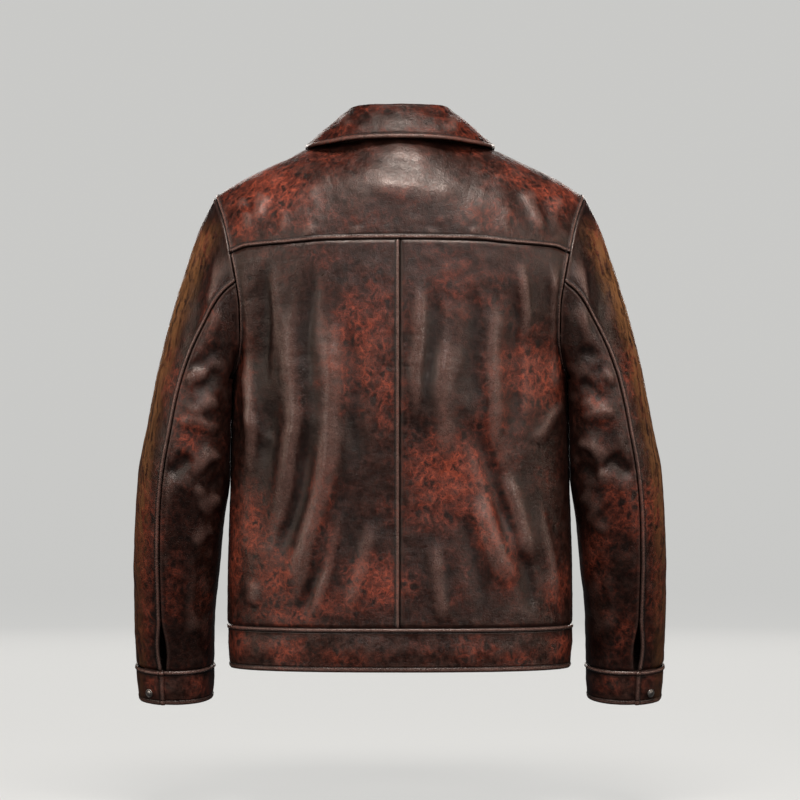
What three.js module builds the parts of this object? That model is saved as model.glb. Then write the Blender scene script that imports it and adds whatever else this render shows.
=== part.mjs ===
// A worn, waist-length leather jacket, filled out with no wearer in it.
// Millimetres. +X is the wearer's right, +Y the wearer's front and +Z up.
// The origin lies midway between the two points where the neck meets the shoulders.

import * as THREE from 'three';

// ---- Driving dimensions -------------------------------------------------------------------

const LEATHER = 2;             // wall of the body and sleeves
const BAND = 2.4;              // waistband, cuffs, placket and stand: two layers of leather
const LEAF = 2.6;              // the falling leaf of the collar
const SEAM_GAP = 0.3;          // between two pieces that are sewn together

const NECK_HALF = 92;          // neck point, from the centre
const TIP_X = 238;             // shoulder tip, from the centre
const TIP_Z = -69;
const ARMPIT_Z = -304;
const ROLL = 125;              // drop in which the shoulder turns from level to upright
const HEM_SEAM_Z = -618;       // body to waistband
const HEM_Z = -673;            // lower edge of the waistband
const SQUARENESS = 2.5;        // exponent of the body's oval section

const SHOULDER_SEAM_ANGLE = -9; // degrees round the armhole, ahead of the shoulder tip
const BACK_NECK_TURN = 37;     // degrees behind it at the centre back
const FRONT_NECK_TURN = -83;   // degrees ahead of it at the centre front
const YOKE_SEAM_ANGLE = 69;    // degrees round the armhole from the shoulder tip
const SLEEVE_BACK_ANGLE = 87;  // the sleeve's back seam, where it leaves the armhole
const SLEEVE_FRONT_ANGLE = -130;
const CUFF_RING = 10;          // ring of the sleeve where the cuff begins
const HAND_RING = 11;          // ring at the cuff's lower edge
const SLIT_RING = 8.9;         // ring where the slit above the cuff begins
const SLIT_HALF = 4;           // half the slit's width at the cuff
const SLEEVE_CLEAR = 3;        // between a sleeve and the side of the body

const SNAP_RADIUS = 5.5;
const SNAP_HEIGHT = 2.6;
const PLACKET_SNAPS_Z = [-128, -222, -316, -410, -504, -590];
const HEM_SNAP_Z = -646;
const CUFF_SNAP_ANGLE = 52;    // round the cuff, from its outer side towards the back
const FLAP_ANGLE = 76;         // where the cuff's overlapping end stops

// ---- Colours ------------------------------------------------------------------------------

const BROWN = new THREE.Color(0x3b2622);
const RED_BROWN = new THREE.Color(0x4c2a22);
const DARK_NICKEL = new THREE.Color(0x55504c);

const leather = () => new THREE.MeshStandardMaterial({ color: BROWN, roughness: 0.5, metalness: 0 });
const collarLeather = () => new THREE.MeshStandardMaterial({ color: RED_BROWN, roughness: 0.5, metalness: 0 });
const nickel = () => new THREE.MeshStandardMaterial({ color: DARK_NICKEL, roughness: 0.35, metalness: 1 });

// ---- Small helpers ------------------------------------------------------------------------

const vec = (x, y, z) => new THREE.Vector3(x, y, z);
const radians = THREE.MathUtils.degToRad;
const degrees = THREE.MathUtils.radToDeg;
const mix = THREE.MathUtils.lerp;
const steps = (from, to, count) => Array.from({ length: count + 1 }, (_, i) => mix(from, to, i / count));

/** A smooth curve through [at, value] points, without overshoot. */
function smooth(points) {
  const last = points.length - 1;
  const slope = (i) => (points[i + 1][1] - points[i][1]) / (points[i + 1][0] - points[i][0]);
  const tangents = points.map((_, i) => {
    if (i === 0) return slope(0);
    if (i === last) return slope(last - 1);
    const before = slope(i - 1);
    const after = slope(i);
    return before * after <= 0 ? 0 : (2 * before * after) / (before + after);
  });
  return (at) => {
    const inside = THREE.MathUtils.clamp(at, points[0][0], points[last][0]);
    let i = 0;
    while (i < last - 1 && inside > points[i + 1][0]) i += 1;
    const span = points[i + 1][0] - points[i][0];
    const t = (inside - points[i][0]) / span;
    const t2 = t * t;
    const t3 = t2 * t;
    return (2 * t3 - 3 * t2 + 1) * points[i][1]
      + (t3 - 2 * t2 + t) * span * tangents[i]
      + (3 * t2 - 2 * t3) * points[i + 1][1]
      + (t3 - t2) * span * tangents[i + 1];
  };
}

/** The outward normal of a surface point(u, v), turned to face the way that `facing` says. */
function normalOf(point, u, v, stepU, stepV, facing) {
  const alongU = point(u + stepU, v).sub(point(u - stepU, v));
  const alongV = point(u, v + stepV).sub(point(u, v - stepV));
  const normal = alongU.cross(alongV).normalize();
  return normal.dot(facing) < 0 ? normal.negate() : normal;
}

// ---- Folds --------------------------------------------------------------------------------
// Soft ridges (height above 0) and troughs of the leather, each along points [x, z].

const BACK_FOLDS = [
  { path: [[-197, -170], [-193, -418]], height: 4, spread: 13 },
  { path: [[-135, -204], [-134, -359], [-153, -464], [-161, -500]], height: 5, spread: 14 },
  { path: [[-84, -202], [-90, -378], [-109, -479], [-138, -594]], height: 7, spread: 14 },
  { path: [[-117, -355], [-144, -543]], height: -5, spread: 12 },
  { path: [[-169, -300], [-178, -540]], height: -4, spread: 14 },
  { path: [[59, -240], [59, -349], [66, -430]], height: 4, spread: 14 },
  { path: [[96, -449], [119, -532], [134, -575]], height: 5, spread: 12 },
  { path: [[133, -417], [167, -540]], height: 4, spread: 12 },
  { path: [[185, -202], [196, -310]], height: 4, spread: 12 },
  { path: [[97, -349], [132, -481], [149, -522]], height: -5, spread: 11 },
];

const FRONT_FOLDS = [
  { path: [[-165, -240], [-150, -420], [-160, -540]], height: 5, spread: 15 },
  { path: [[-95, -260], [-88, -420], [-110, -570]], height: 6, spread: 15 },
  { path: [[-122, -330], [-128, -540]], height: -5, spread: 13 },
  { path: [[92, -250], [84, -400], [104, -580]], height: 6, spread: 15 },
  { path: [[160, -230], [150, -430], [158, -560]], height: 5, spread: 15 },
  { path: [[120, -320], [124, -540]], height: -5, spread: 13 },
];

function foldHeight(folds, x, z) {
  let total = 0;
  for (const { path, height, spread } of folds) {
    let nearest = Infinity;
    for (let i = 1; i < path.length; i += 1) {
      const [ax, az] = path[i - 1];
      const [bx, bz] = path[i];
      const along = ((x - ax) * (bx - ax) + (z - az) * (bz - az)) / ((bx - ax) ** 2 + (bz - az) ** 2);
      const t = THREE.MathUtils.clamp(along, 0, 1);
      nearest = Math.min(nearest, Math.hypot(x - mix(ax, bx, t), z - mix(az, bz, t)));
    }
    total += height * Math.exp(-((nearest / spread) ** 2) / 2);
  }
  return total;
}

// ---- Form of the body ---------------------------------------------------------------------

const shoulderLine = smooth([
  [-NECK_HALF, 1.5], [0, 35], [NECK_HALF, 1.5], [124, -9], [146, -20],
  [177, -34], [205, -48], [228, -63], [TIP_X, TIP_Z], [262, -86],
]);

const halfWidth = smooth([
  [HEM_Z, 219], [-620, 221], [-547, 220.6], [-488, 219], [-427, 217], [ARMPIT_Z, 216],
  [-280, 216], [-250, 225], [-212, 239], [-180, 252], [-140, 262], [60, 262],
]);

const backDepth = smooth([
  [HEM_Z, 110], [HEM_SEAM_Z, 112], [-500, 112], [-400, 117], [-300, 124], [-200, 127], [-128, 125], [40, 120],
]);

const frontDepth = smooth([
  [HEM_Z, 110], [HEM_SEAM_Z, 113], [-450, 116], [ARMPIT_Z, 118], [-220, 114], [-140, 102], [-75, 84], [0, 70],
]);

const armholeX = smooth([
  [ARMPIT_Z, 216], [-298, 213], [-280, 207], [-250, 203], [-212, 203.5],
  [-180, 208], [-140, 216], [-100, 226], [TIP_Z, TIP_X],
]);

const oval = (share) => Math.pow(Math.max(0, 1 - Math.pow(Math.abs(share), SQUARENESS)), 1 / SQUARENESS);

/** How far down the shoulder's roll, in mm, a turn in degrees has come. */
function dropAt(turn) {
  const t = Math.abs(radians(turn));
  return t < Math.PI / 2 ? ROLL * (1 - Math.cos(t)) : ROLL * (1 + t - Math.PI / 2);
}

/** The turn, in degrees and without its sign, at which the form reaches the height z. */
function turnAt(x, z) {
  const drop = Math.max(0, shoulderLine(Math.abs(x)) - z);
  return degrees(drop < ROLL ? Math.acos(1 - drop / ROLL) : Math.PI / 2 + drop / ROLL - 1);
}

/** A point of the form without folds. turn is 0 on top of the shoulder, positive behind. */
function plainForm(x, turn) {
  const z = shoulderLine(Math.abs(x)) - dropAt(turn);
  const fill = Math.sin(Math.min(Math.abs(radians(turn)), Math.PI / 2));
  const depth = turn > 0 ? -backDepth(z) : frontDepth(z);
  return vec(x, depth * oval(x / halfWidth(z)) * fill, z);
}

const outOfBody = (point) => vec(point.x * 0.3, point.y, Math.max(0, 40 + point.z * 0.5) + 1);

function bodyNormal(x, turn) {
  const point = plainForm(x, turn);
  if (Math.abs(x) > halfWidth(point.z) - 1) return vec(Math.sign(x), 0, 0);
  return normalOf(plainForm, x, turn, 0.5, 0.5, outOfBody(point));
}

/** A point of the body's outer face, lifted by `lift` mm. */
function bodyPoint(x, turn, lift = 0) {
  const point = plainForm(x, turn);
  const { z } = point;
  const limit = z > ARMPIT_Z ? armholeX(z) : halfWidth(z);
  const offSide = THREE.MathUtils.smoothstep(limit - Math.abs(x), 0, 30);
  const offHem = THREE.MathUtils.smoothstep(z, HEM_SEAM_Z, HEM_SEAM_Z + 60);
  const offYoke = THREE.MathUtils.smoothstep(-z, 130, 200);
  const offCentre = turn > 0 ? 1 : THREE.MathUtils.smoothstep(Math.abs(x), 25, 60);
  const folds = foldHeight(turn > 0 ? BACK_FOLDS : FRONT_FOLDS, x, z);
  const height = folds * offSide * offHem * offYoke * offCentre + lift;
  return point.addScaledVector(bodyNormal(x, turn), height);
}

// ---- Armhole: one loop that the body and the sleeve share ------------------------------------

const ARMHOLE_MIDDLE_Z = (TIP_Z + ARMPIT_Z) / 2;
const ARMHOLE_HALF_Z = (TIP_Z - ARMPIT_Z) / 2;

/** angle is 0 at the shoulder tip, 90 at the back, 180 at the armpit and -90 in front. */
function armholeStation(angle) {
  const z = ARMHOLE_MIDDLE_Z + ARMHOLE_HALF_Z * Math.cos(radians(angle));
  const x = armholeX(z);
  const turn = turnAt(x, z) * (angle < 0 ? -1 : 1);
  return { x, z, turn, reach: x, width: Math.max(halfWidth(z), x) };
}

const armholePoint = (angle) => {
  const { x, turn } = armholeStation(angle);
  return bodyPoint(x, turn);
};

// ---- Form of a sleeve -----------------------------------------------------------------------
// Each ring of the wearer's right sleeve runs from an outer point [x, z] to an inner one.
// ring: outer x, outer z, inner x, inner z, half depth, middle y, tilt in degrees

const RINGS = [
  [238, -69, 216, -304, 82, 0, 0],
  [258, -110, 216.5, -308, 82, 1, 0],
  [277, -165, 215, -316, 81, 1, 0],
  [297, -230, 213, -328, 79, 0, 0],
  [313, -297, 212, -348, 77, -1, 0],
  [325, -360, 213, -382, 75, -1, 0],
  [337, -420, 218, -430, 71, 1, 2],
  [342, -480, 227, -484, 66, 10, 5],
  [345, -545, 233, -545, 60, 21, 8],
  [345, -610, 240, -608, 52, 33, 10],
  [343, -673, 242, -673, 45, 45, 10],
  [340, -717, 244, -717, 43, 53, 10],
];

const ringValue = RINGS[0].map((_, field) => smooth(RINGS.map((ring, i) => [i, ring[field]])));
const CAP_RINGS = 5;   // rings over which the sleeve changes from the armhole's loop to an oval

function ovalRing(ring, angle) {
  const [outerX, outerZ, innerX, innerZ, depth, middleY, tilt] = ringValue.map((value) => value(ring));
  const across = Math.cos(radians(angle)) / 2;
  const back = Math.sin(radians(angle)) * depth;
  return vec(
    (outerX + innerX) / 2 + (outerX - innerX) * across,
    middleY - back * Math.cos(radians(tilt)),
    (outerZ + innerZ) / 2 + (outerZ - innerZ) * across - back * Math.sin(radians(tilt)),
  );
}

const SLEEVE_FOLDS = [
  { path: [[222, -262], [262, -300]], height: -4, spread: 9 },
  { path: [[228, -330], [268, -352]], height: 4, spread: 10 },
  { path: [[232, -448], [262, -480]], height: 4, spread: 10 },
  { path: [[262, -404], [300, -432]], height: -4, spread: 10 },
  { path: [[250, -540], [262, -640]], height: 3, spread: 11 },
];

function plainSleeve(ring, angle) {
  const point = ovalRing(ring, angle);
  const cap = 1 - THREE.MathUtils.smoothstep(ring, 0, CAP_RINGS);
  if (cap > 0) {
    point.addScaledVector(armholePoint(angle > 180 ? angle - 360 : angle).sub(ovalRing(0, angle)), cap);
  }
  const depth = point.y < 0 ? backDepth(point.z) : frontDepth(point.z);
  const side = halfWidth(point.z) * oval(Math.min(1, Math.abs(point.y) / depth));
  const clear = SLEEVE_CLEAR * THREE.MathUtils.smoothstep(ring, 0, 0.6);
  point.x = Math.max(point.x, (point.z > ARMPIT_Z ? armholeX(point.z) : side) + clear);
  return point;
}

function sleeveNormal(ring, angle) {
  const middle = ovalRing(ring, 0).add(ovalRing(ring, 180)).multiplyScalar(0.5);
  const inside = THREE.MathUtils.clamp(ring, 0.03, HAND_RING - 0.03);
  return normalOf(plainSleeve, inside, angle, 0.02, 1, plainSleeve(inside, angle).sub(middle));
}

/** A point of the right sleeve's outer face, lifted by `lift` mm. */
function sleevePoint(ring, angle, lift = 0) {
  const point = plainSleeve(ring, angle);
  const clearOfEnds = THREE.MathUtils.smoothstep(ring, 0, 2) * (1 - THREE.MathUtils.smoothstep(ring, 9, 9.8));
  const facing = Math.abs(Math.sin(radians(angle))) ** 2;
  const height = foldHeight(SLEEVE_FOLDS, point.x, point.z) * clearOfEnds * facing + lift;
  return point.addScaledVector(sleeveNormal(ring, angle), height);
}

/** At the armhole both walls take the same direction, halfway between the two faces. */
function armholeNormal(angle) {
  const { x, turn } = armholeStation(angle);
  return bodyNormal(x, turn).add(sleeveNormal(0.15, angle)).normalize();
}

// ---- Walls from grids of points -------------------------------------------------------------

/** Moves the grid's outermost points in, so that sewn pieces stay apart. */
function pullIn(grid, edges) {
  const towards = (from, to, by) => from.clone().addScaledVector(to.clone().sub(from).normalize(), by);
  const amount = (edge, i) => (typeof edge === 'function' ? edge(i) : edge);
  const lastRow = grid.length - 1;
  const lastColumn = grid[0].length - 1;
  const rows = grid.map((row, i) => row.map((point, j) => {
    if (j === 0 && edges.left) return towards(point, row[1], amount(edges.left, i));
    if (j === lastColumn && edges.right) return towards(point, row[lastColumn - 1], amount(edges.right, i));
    return point;
  }));
  return rows.map((row, i) => row.map((point, j) => {
    if (i === 0 && edges.top) return towards(point, rows[1][j], edges.top);
    if (i === lastRow && edges.bottom) return towards(point, rows[lastRow - 1][j], edges.bottom);
    return point;
  }));
}

/** One closed wall between an outer and an inner grid of points. */
function wallGeometry(outer, inner) {
  const rows = outer.length;
  const columns = outer[0].length;
  const points = [...outer.flat(), ...inner.flat()];
  const out = (i, j) => i * columns + j;
  const back = (i, j) => rows * columns + i * columns + j;
  const index = [];
  const quad = (a, b, c, d) => index.push(a, b, c, a, c, d);
  for (let i = 0; i < rows - 1; i += 1) {
    for (let j = 0; j < columns - 1; j += 1) {
      quad(out(i, j), out(i + 1, j), out(i + 1, j + 1), out(i, j + 1));
      quad(back(i, j), back(i, j + 1), back(i + 1, j + 1), back(i + 1, j));
    }
    quad(out(i, 0), back(i, 0), back(i + 1, 0), out(i + 1, 0));
    quad(out(i, columns - 1), out(i + 1, columns - 1), back(i + 1, columns - 1), back(i, columns - 1));
  }
  for (let j = 0; j < columns - 1; j += 1) {
    quad(out(0, j), out(0, j + 1), back(0, j + 1), back(0, j));
    quad(out(rows - 1, j), back(rows - 1, j), back(rows - 1, j + 1), out(rows - 1, j + 1));
  }
  return solidGeometry(points, index);
}

/** A geometry whose faces point out, whichever way its grid was wound. */
function solidGeometry(points, index) {
  let volume = 0;
  for (let i = 0; i < index.length; i += 3) {
    const [a, b, c] = index.slice(i, i + 3).map((k) => points[k]);
    volume += a.dot(b.clone().cross(c));
  }
  if (volume < 0) index.reverse();
  const geometry = new THREE.BufferGeometry();
  geometry.setAttribute('position', new THREE.Float32BufferAttribute(points.flatMap((p) => p.toArray()), 3));
  geometry.setIndex(index);
  geometry.computeVertexNormals();
  return geometry;
}

const mirrored = (grid) => grid.map((row) => row.map((point) => vec(-point.x, point.y, point.z)));

function cloth(name, outer, normals, wall, edges, material) {
  const inner = outer.map((row, i) => row.map((point, j) => point.clone().addScaledVector(normals[i][j], -wall)));
  const mesh = new THREE.Mesh(wallGeometry(pullIn(outer, edges), pullIn(inner, edges)), material);
  mesh.name = name;
  return mesh;
}

// ---- Body panels ------------------------------------------------------------------------------
// A column is a share of the way round from the centre to the side; NECK_COLUMN meets the neck point.

const TIP_SPREAD = degrees(Math.asin(TIP_X / halfWidth(TIP_Z)));
const NECK_COLUMN = degrees(Math.asin(NECK_HALF / halfWidth(TIP_Z))) / TIP_SPREAD;
const PLACKET_COLUMN = 0.08;
const COLUMNS = [0, PLACKET_COLUMN, 0.16, 0.235, 0.285, NECK_COLUMN, 0.43, 0.55, 0.67, 0.79, 0.91, 1];
const mirrorColumns = [...COLUMNS.slice(1).reverse().map((c) => -c), ...COLUMNS];

const HALF_GAP = SEAM_GAP / 2;

// Columns keep the places that they have at the armhole's narrowest; the rest of the way to the
// side seam is gained near the edge, where the armhole's lower end curves out to the armpit.
const ARMHOLE_WAIST_Z = -280;
const waistShare = armholeX(ARMHOLE_WAIST_Z) / halfWidth(ARMHOLE_WAIST_Z);

function columnX(row, column) {
  const held = row.z > ARMHOLE_WAIST_Z ? row.reach / row.width : waistShare;
  const spread = radians(TIP_SPREAD);
  const share = held * Math.sin(spread * column) / Math.sin(spread);
  const gain = Math.asin(Math.min(1, row.reach / row.width)) - Math.asin(held);
  return row.width * Math.sin(Math.asin(share) + gain * column ** 5);
}

const sideRow = (z, front) => {
  const width = halfWidth(z);
  return { x: width, z, reach: width, width, turn: turnAt(width, z) * (front ? -1 : 1) };
};

const neckTurn = (x, front) => {
  const share = Math.sqrt(Math.max(0, 1 - (x / NECK_HALF) ** 2));
  return share * (front ? FRONT_NECK_TURN : BACK_NECK_TURN);
};

const shoulderSeamTurn = armholeStation(SHOULDER_SEAM_ANGLE).turn;
const topTurn = (x, front) => (
  Math.abs(x) < NECK_HALF - 0.01 ? neckTurn(x, front) : shoulderSeamTurn
);

const yokeEnd = armholeStation(YOKE_SEAM_ANGLE);
const yokeSeamHalf = smooth([[-90, -129], [0, -128], [90, -129], [142, -133], [195, -137], [yokeEnd.x, yokeEnd.z]]);
const yokeSeamZ = (x) => yokeSeamHalf(Math.abs(x));

/** A panel between two edges of the body, through rows that end on the armhole or the side. */
function bodyPanel(name, columns, rows, turnOfTop, turnOfBottom, edges, material = leather()) {
  const first = rows[0];
  const last = rows[rows.length - 1];
  const outer = [];
  const normals = [];
  for (const row of rows) {
    const share = (row.turn - first.turn) / (last.turn - first.turn);
    outer.push([]);
    normals.push([]);
    for (const column of columns) {
      const x = columnX(row, column);
      const top = turnOfTop(columnX(first, column));
      const bottom = turnOfBottom(columnX(last, column));
      const turn = mix(top, bottom, share);
      const onArmhole = Math.abs(column) === 1 && row.angle !== undefined;
      const normal = onArmhole ? armholeNormal(row.angle) : bodyNormal(x, turn);
      if (onArmhole && column < 0) normal.x *= -1;
      outer[outer.length - 1].push(bodyPoint(x, turn));
      normals[normals.length - 1].push(normal);
    }
  }
  return cloth(name, outer, normals, LEATHER, edges, material);
}

const armholeRow = (angle) => ({ ...armholeStation(angle), angle });

// One list of angles round the armhole serves the body's rows and the sleeve's columns.
const YOKE_ANGLES = [SHOULDER_SEAM_ANGLE, 6, 22, 38, 54, YOKE_SEAM_ANGLE];
const BACK_ANGLES = [YOKE_SEAM_ANGLE, SLEEVE_BACK_ANGLE, 102, 117, 131, 145, 158, 170, 180];
const FRONT_ANGLES = [
  SHOULDER_SEAM_ANGLE, -24, -40, -56, -72, -87, -102, -117, SLEEVE_FRONT_ANGLE, -145, -158, -170, -180,
];

const seamTurn = (x) => turnAt(x, yokeSeamZ(x));
const hemTurn = (front) => (x) => turnAt(x, HEM_SEAM_Z) * (front ? -1 : 1);
const SIDE_ROWS = 6;
const sideRows = (front) => steps(ARMPIT_Z, HEM_SEAM_Z, SIDE_ROWS).slice(1).map((z) => sideRow(z, front));

const frontTop = (x) => topTurn(x, true);
const frontRows = [...FRONT_ANGLES.map(armholeRow), ...sideRows(true)];
const backRows = [...BACK_ANGLES.map(armholeRow), ...sideRows(false)];

const seams = { left: HALF_GAP, right: HALF_GAP, top: HALF_GAP, bottom: HALF_GAP };
const leftColumns = mirrorColumns.filter((c) => c <= 0);

function makeBody() {
  return [
    bodyPanel('yoke', mirrorColumns, YOKE_ANGLES.map(armholeRow), (x) => topTurn(x, false), seamTurn, seams),
    bodyPanel('back_left', leftColumns, backRows, seamTurn, hemTurn(false), seams),
    bodyPanel('back_right', COLUMNS, backRows, seamTurn, hemTurn(false), seams),
    bodyPanel('front_left', leftColumns, frontRows, frontTop, hemTurn(true), seams),
    bodyPanel('front_right', COLUMNS, frontRows, frontTop, hemTurn(true), seams),
  ];
}

// ---- Waistband ----------------------------------------------------------------------------------

function makeBand(name, columns, front) {
  const rows = [HEM_SEAM_Z, HEM_Z].map((z) => sideRow(z, front));
  const turnOf = (z) => (x) => turnAt(x, z) * (front ? -1 : 1);
  const outer = rows.map((row) => columns.map((c) => bodyPoint(columnX(row, c), turnOf(row.z)(columnX(row, c)))));
  const normals = rows.map((row) => columns.map((c) => bodyNormal(columnX(row, c), turnOf(row.z)(columnX(row, c)))));
  const edges = { left: HALF_GAP, right: HALF_GAP, top: HALF_GAP };
  return cloth(name, outer, normals, BAND, edges, leather());
}

const makeWaistband = () => [
  makeBand('waistband_back', mirrorColumns, false),
  makeBand('waistband_front_left', leftColumns, true),
  makeBand('waistband_front_right', COLUMNS, true),
];

// ---- Placket: a strip over the fronts' meeting edges, from their own points moved out -------------

function makePlacket() {
  const columns = [-PLACKET_COLUMN, 0, PLACKET_COLUMN];
  const rows = [...frontRows, sideRow(HEM_Z, true)];
  const first = frontRows[0];
  const seam = frontRows[frontRows.length - 1];
  const turnOf = (row, column) => {
    if (row.z < HEM_SEAM_Z) return -turnAt(columnX(row, column), HEM_Z);
    const share = (row.turn - first.turn) / (seam.turn - first.turn);
    return mix(frontTop(columnX(first, column)), hemTurn(true)(columnX(seam, column)), share);
  };
  const grid = (make) => rows.map((row) => columns.map((c) => make(columnX(row, c), turnOf(row, c))));
  const outer = grid((x, turn) => bodyPoint(x, turn, SEAM_GAP + BAND));
  return cloth('front_placket', outer, grid(bodyNormal), BAND, { top: HALF_GAP }, leather());
}

// ---- Collar: a stand on the neck seam and a leaf that rolls over it and falls ----------------------
// Each point is given by its angle round the neck: 0 at the centre back, 180 at the centre front.

const ROLL_RADIUS = 4.6;

const collarCurve = (points) => {
  const signs = [-1, 1, 1];
  const axes = [0, 1, 2].map((axis) => smooth([
    [-points[1][0], signs[axis] * points[1][axis + 1]],
    ...points.map((p) => [p[0], p[axis + 1]]),
  ]));
  return (angle) => {
    const [x, y, z] = axes.map((value) => value(Math.abs(angle)));
    return vec(angle < 0 ? -x : x, y, z);
  };
};

const foldLine = collarCurve([
  [0, 0, -68, 46.5], [35, 40, -60, 46.5], [65, 60, -33, 45], [90, 67, -2, 38],
  [120, 61, 32, 16], [150, 38, 58, -18], [174, 10, 70, -44],
]);

const leafEdge = collarCurve([
  [0, 0, -96, 2], [30, 52, -91, 1], [60, 95, -66, -3], [85, 119, -26, -5.2], [97, 123, 4, -3],
  [110, 122, 28, -9], [125, 117, 52, -33], [150, 101, 83, -72], [174, 62, 102, -112],
]);

const neckPoint = (angle) => {
  const x = NECK_HALF * Math.sin(radians(angle));
  const front = Math.abs(angle) > 90;
  return bodyPoint(x, neckTurn(x, front));
};

const COLLAR_END = 174;
const neckAngles = COLUMNS.slice(1, COLUMNS.indexOf(NECK_COLUMN)).map((c) => {
  const x = columnX(armholeRow(SHOULDER_SEAM_ANGLE), c);
  return degrees(Math.asin(x / NECK_HALF));
});
const bothSides = (angles) => [...angles.slice(1).reverse().map((a) => -a), ...angles];
// The stand's angles are those of the panels' points along the neck, so that both follow one line.
const standAngles = bothSides([0, ...neckAngles, 90, ...neckAngles.map((a) => 180 - a).reverse(), COLLAR_END]);
const leafAngles = bothSides([0, 16, 32, 48, 64, 76, 85, 92, 99, 106, 114, 124, 138, 156, COLLAR_END]);

function leafFrame(angle) {
  const fold = foldLine(angle);
  const edge = leafEdge(angle);
  const out = edge.clone().sub(fold).setZ(0).normalize();
  const centre = fold.clone().add(vec(0, 0, -ROLL_RADIUS));
  return { edge, out, centre };
}

const ROLL_END = 25;           // degrees above level where the roll goes over into the flat leaf
const LEAF_BULGE = 3;

/** share runs from 0, at the stand's top, over the roll at 0.4 to 1, at the leaf's free edge. */
function leafPoint(angle, share) {
  const { edge, out, centre } = leafFrame(angle);
  const rollShare = 0.4;
  const about = (turn) => centre.clone()
    .addScaledVector(out, ROLL_RADIUS * Math.cos(radians(turn)))
    .add(vec(0, 0, ROLL_RADIUS * Math.sin(radians(turn))));
  if (share <= rollShare) return about(mix(180, ROLL_END, share / rollShare));
  const along = (share - rollShare) / (1 - rollShare);
  const bulge = LEAF_BULGE * Math.sin(Math.PI * along);
  return about(ROLL_END).lerp(edge, along).addScaledVector(out, bulge * 0.6).add(vec(0, 0, bulge * 0.5));
}

function makeCollar() {
  const shares = [0, 0.13, 0.27, 0.4, 0.6, 0.8, 1];
  const outer = shares.map((share) => leafAngles.map((angle) => leafPoint(angle, share)));
  const leafCentre = (angle, share) => {
    const { out, centre } = leafFrame(angle);
    return centre.addScaledVector(out, -3 + share).add(vec(0, 0, -60 * Math.max(0, share - 0.4)));
  };
  const normals = shares.map((share) => leafAngles.map((angle) => {
    const a = THREE.MathUtils.clamp(angle, 1 - COLLAR_END, COLLAR_END - 1);
    const s = THREE.MathUtils.clamp(share, 0.01, 0.99);
    return normalOf(leafPoint, a, s, 0.8, 0.008, leafPoint(a, s).sub(leafCentre(a, s)));
  }));
  return cloth('collar', outer, normals, LEAF, {}, collarLeather());
}

function makeStand() {
  const lift = vec(0, 0, SEAM_GAP);
  const top = (angle) => {
    const { out, centre } = leafFrame(angle);
    return centre.addScaledVector(out, LEAF - ROLL_RADIUS).sub(lift);
  };
  const standPoint = (angle, share) => neckPoint(angle).addScaledVector(lift, 2).lerp(top(angle), share);
  const shares = [0, 0.5, 1];
  const outer = shares.map((share) => standAngles.map((angle) => standPoint(angle, share)));
  const normals = shares.map((share) => standAngles.map((angle) => {
    const a = THREE.MathUtils.clamp(angle, 1 - COLLAR_END, COLLAR_END - 1);
    const facing = vec(Math.sin(radians(a)), -Math.cos(radians(a)), 0);
    const normal = normalOf(standPoint, a, THREE.MathUtils.clamp(share, 0.05, 0.95), 0.8, 0.04, facing);
    return share === 0.5 ? normal : normal.setZ(0).normalize();
  }));
  return cloth('collar_stand', outer, normals, LEAF, {}, leather());
}

// ---- Sleeves ----------------------------------------------------------------------------------------

const backSeamAngle = smooth([[0, SLEEVE_BACK_ANGLE], [2, 76], [4, 68], [6, 66], [8, 70], [10, 76], [HAND_RING, 76]]);
const RING_STEPS = [0, 0.6, 1.4, 2.2, 3, 3.9, 4.8, 5.5, 6.2, 6.9, 7.8, SLIT_RING, 9.5, CUFF_RING];
const OUTER_ANGLES = [
  ...FRONT_ANGLES.slice(0, FRONT_ANGLES.indexOf(SLEEVE_FRONT_ANGLE) + 1).reverse(),
  ...YOKE_ANGLES.slice(1), SLEEVE_BACK_ANGLE,
];
const UNDER_ANGLES = [
  ...BACK_ANGLES.slice(1),
  ...FRONT_ANGLES.slice(FRONT_ANGLES.indexOf(SLEEVE_FRONT_ANGLE), -1).reverse().map((angle) => angle + 360),
];

/** Shifts a column so that the back seam follows its own line down the sleeve. */
function shiftedAngle(ring, angle) {
  const shift = backSeamAngle(ring) - SLEEVE_BACK_ANGLE;
  const outer = angle <= SLEEVE_BACK_ANGLE;
  const far = outer ? SLEEVE_FRONT_ANGLE : SLEEVE_FRONT_ANGLE + 360;
  return angle + shift * (angle - far) / (SLEEVE_BACK_ANGLE - far);
}

/** Half the gap along the back seam, which opens into the slit above the cuff. */
const backSeamGap = (i) => {
  const open = THREE.MathUtils.clamp((RING_STEPS[i] - SLIT_RING) / (CUFF_RING - SLIT_RING), 0, 1);
  return mix(HALF_GAP, SLIT_HALF, open);
};

function makeSleeveHalf(name, angles, isOuter, isLeft) {
  const outer = RING_STEPS.map((ring) => angles.map((a) => sleevePoint(ring, shiftedAngle(ring, a))));
  const normals = RING_STEPS.map((ring) => angles.map((a) => (
    ring === 0 ? armholeNormal(a > 180 ? a - 360 : a) : sleeveNormal(ring, shiftedAngle(ring, a))
  )));
  const edges = {
    left: isOuter ? HALF_GAP : backSeamGap,
    right: isOuter ? backSeamGap : HALF_GAP,
    top: HALF_GAP,
    bottom: HALF_GAP,
  };
  return isLeft
    ? cloth(name, mirrored(outer), mirrored(normals), LEATHER, edges, leather())
    : cloth(name, outer, normals, LEATHER, edges, leather());
}

const makeSleeves = () => ['left', 'right'].flatMap((side) => [
  makeSleeveHalf(`sleeve_${side}_outer`, OUTER_ANGLES, true, side === 'left'),
  makeSleeveHalf(`sleeve_${side}_under`, UNDER_ANGLES, false, side === 'left'),
]);

// ---- Cuffs: one band that passes right round and laps over its own end --------------------------------

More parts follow.
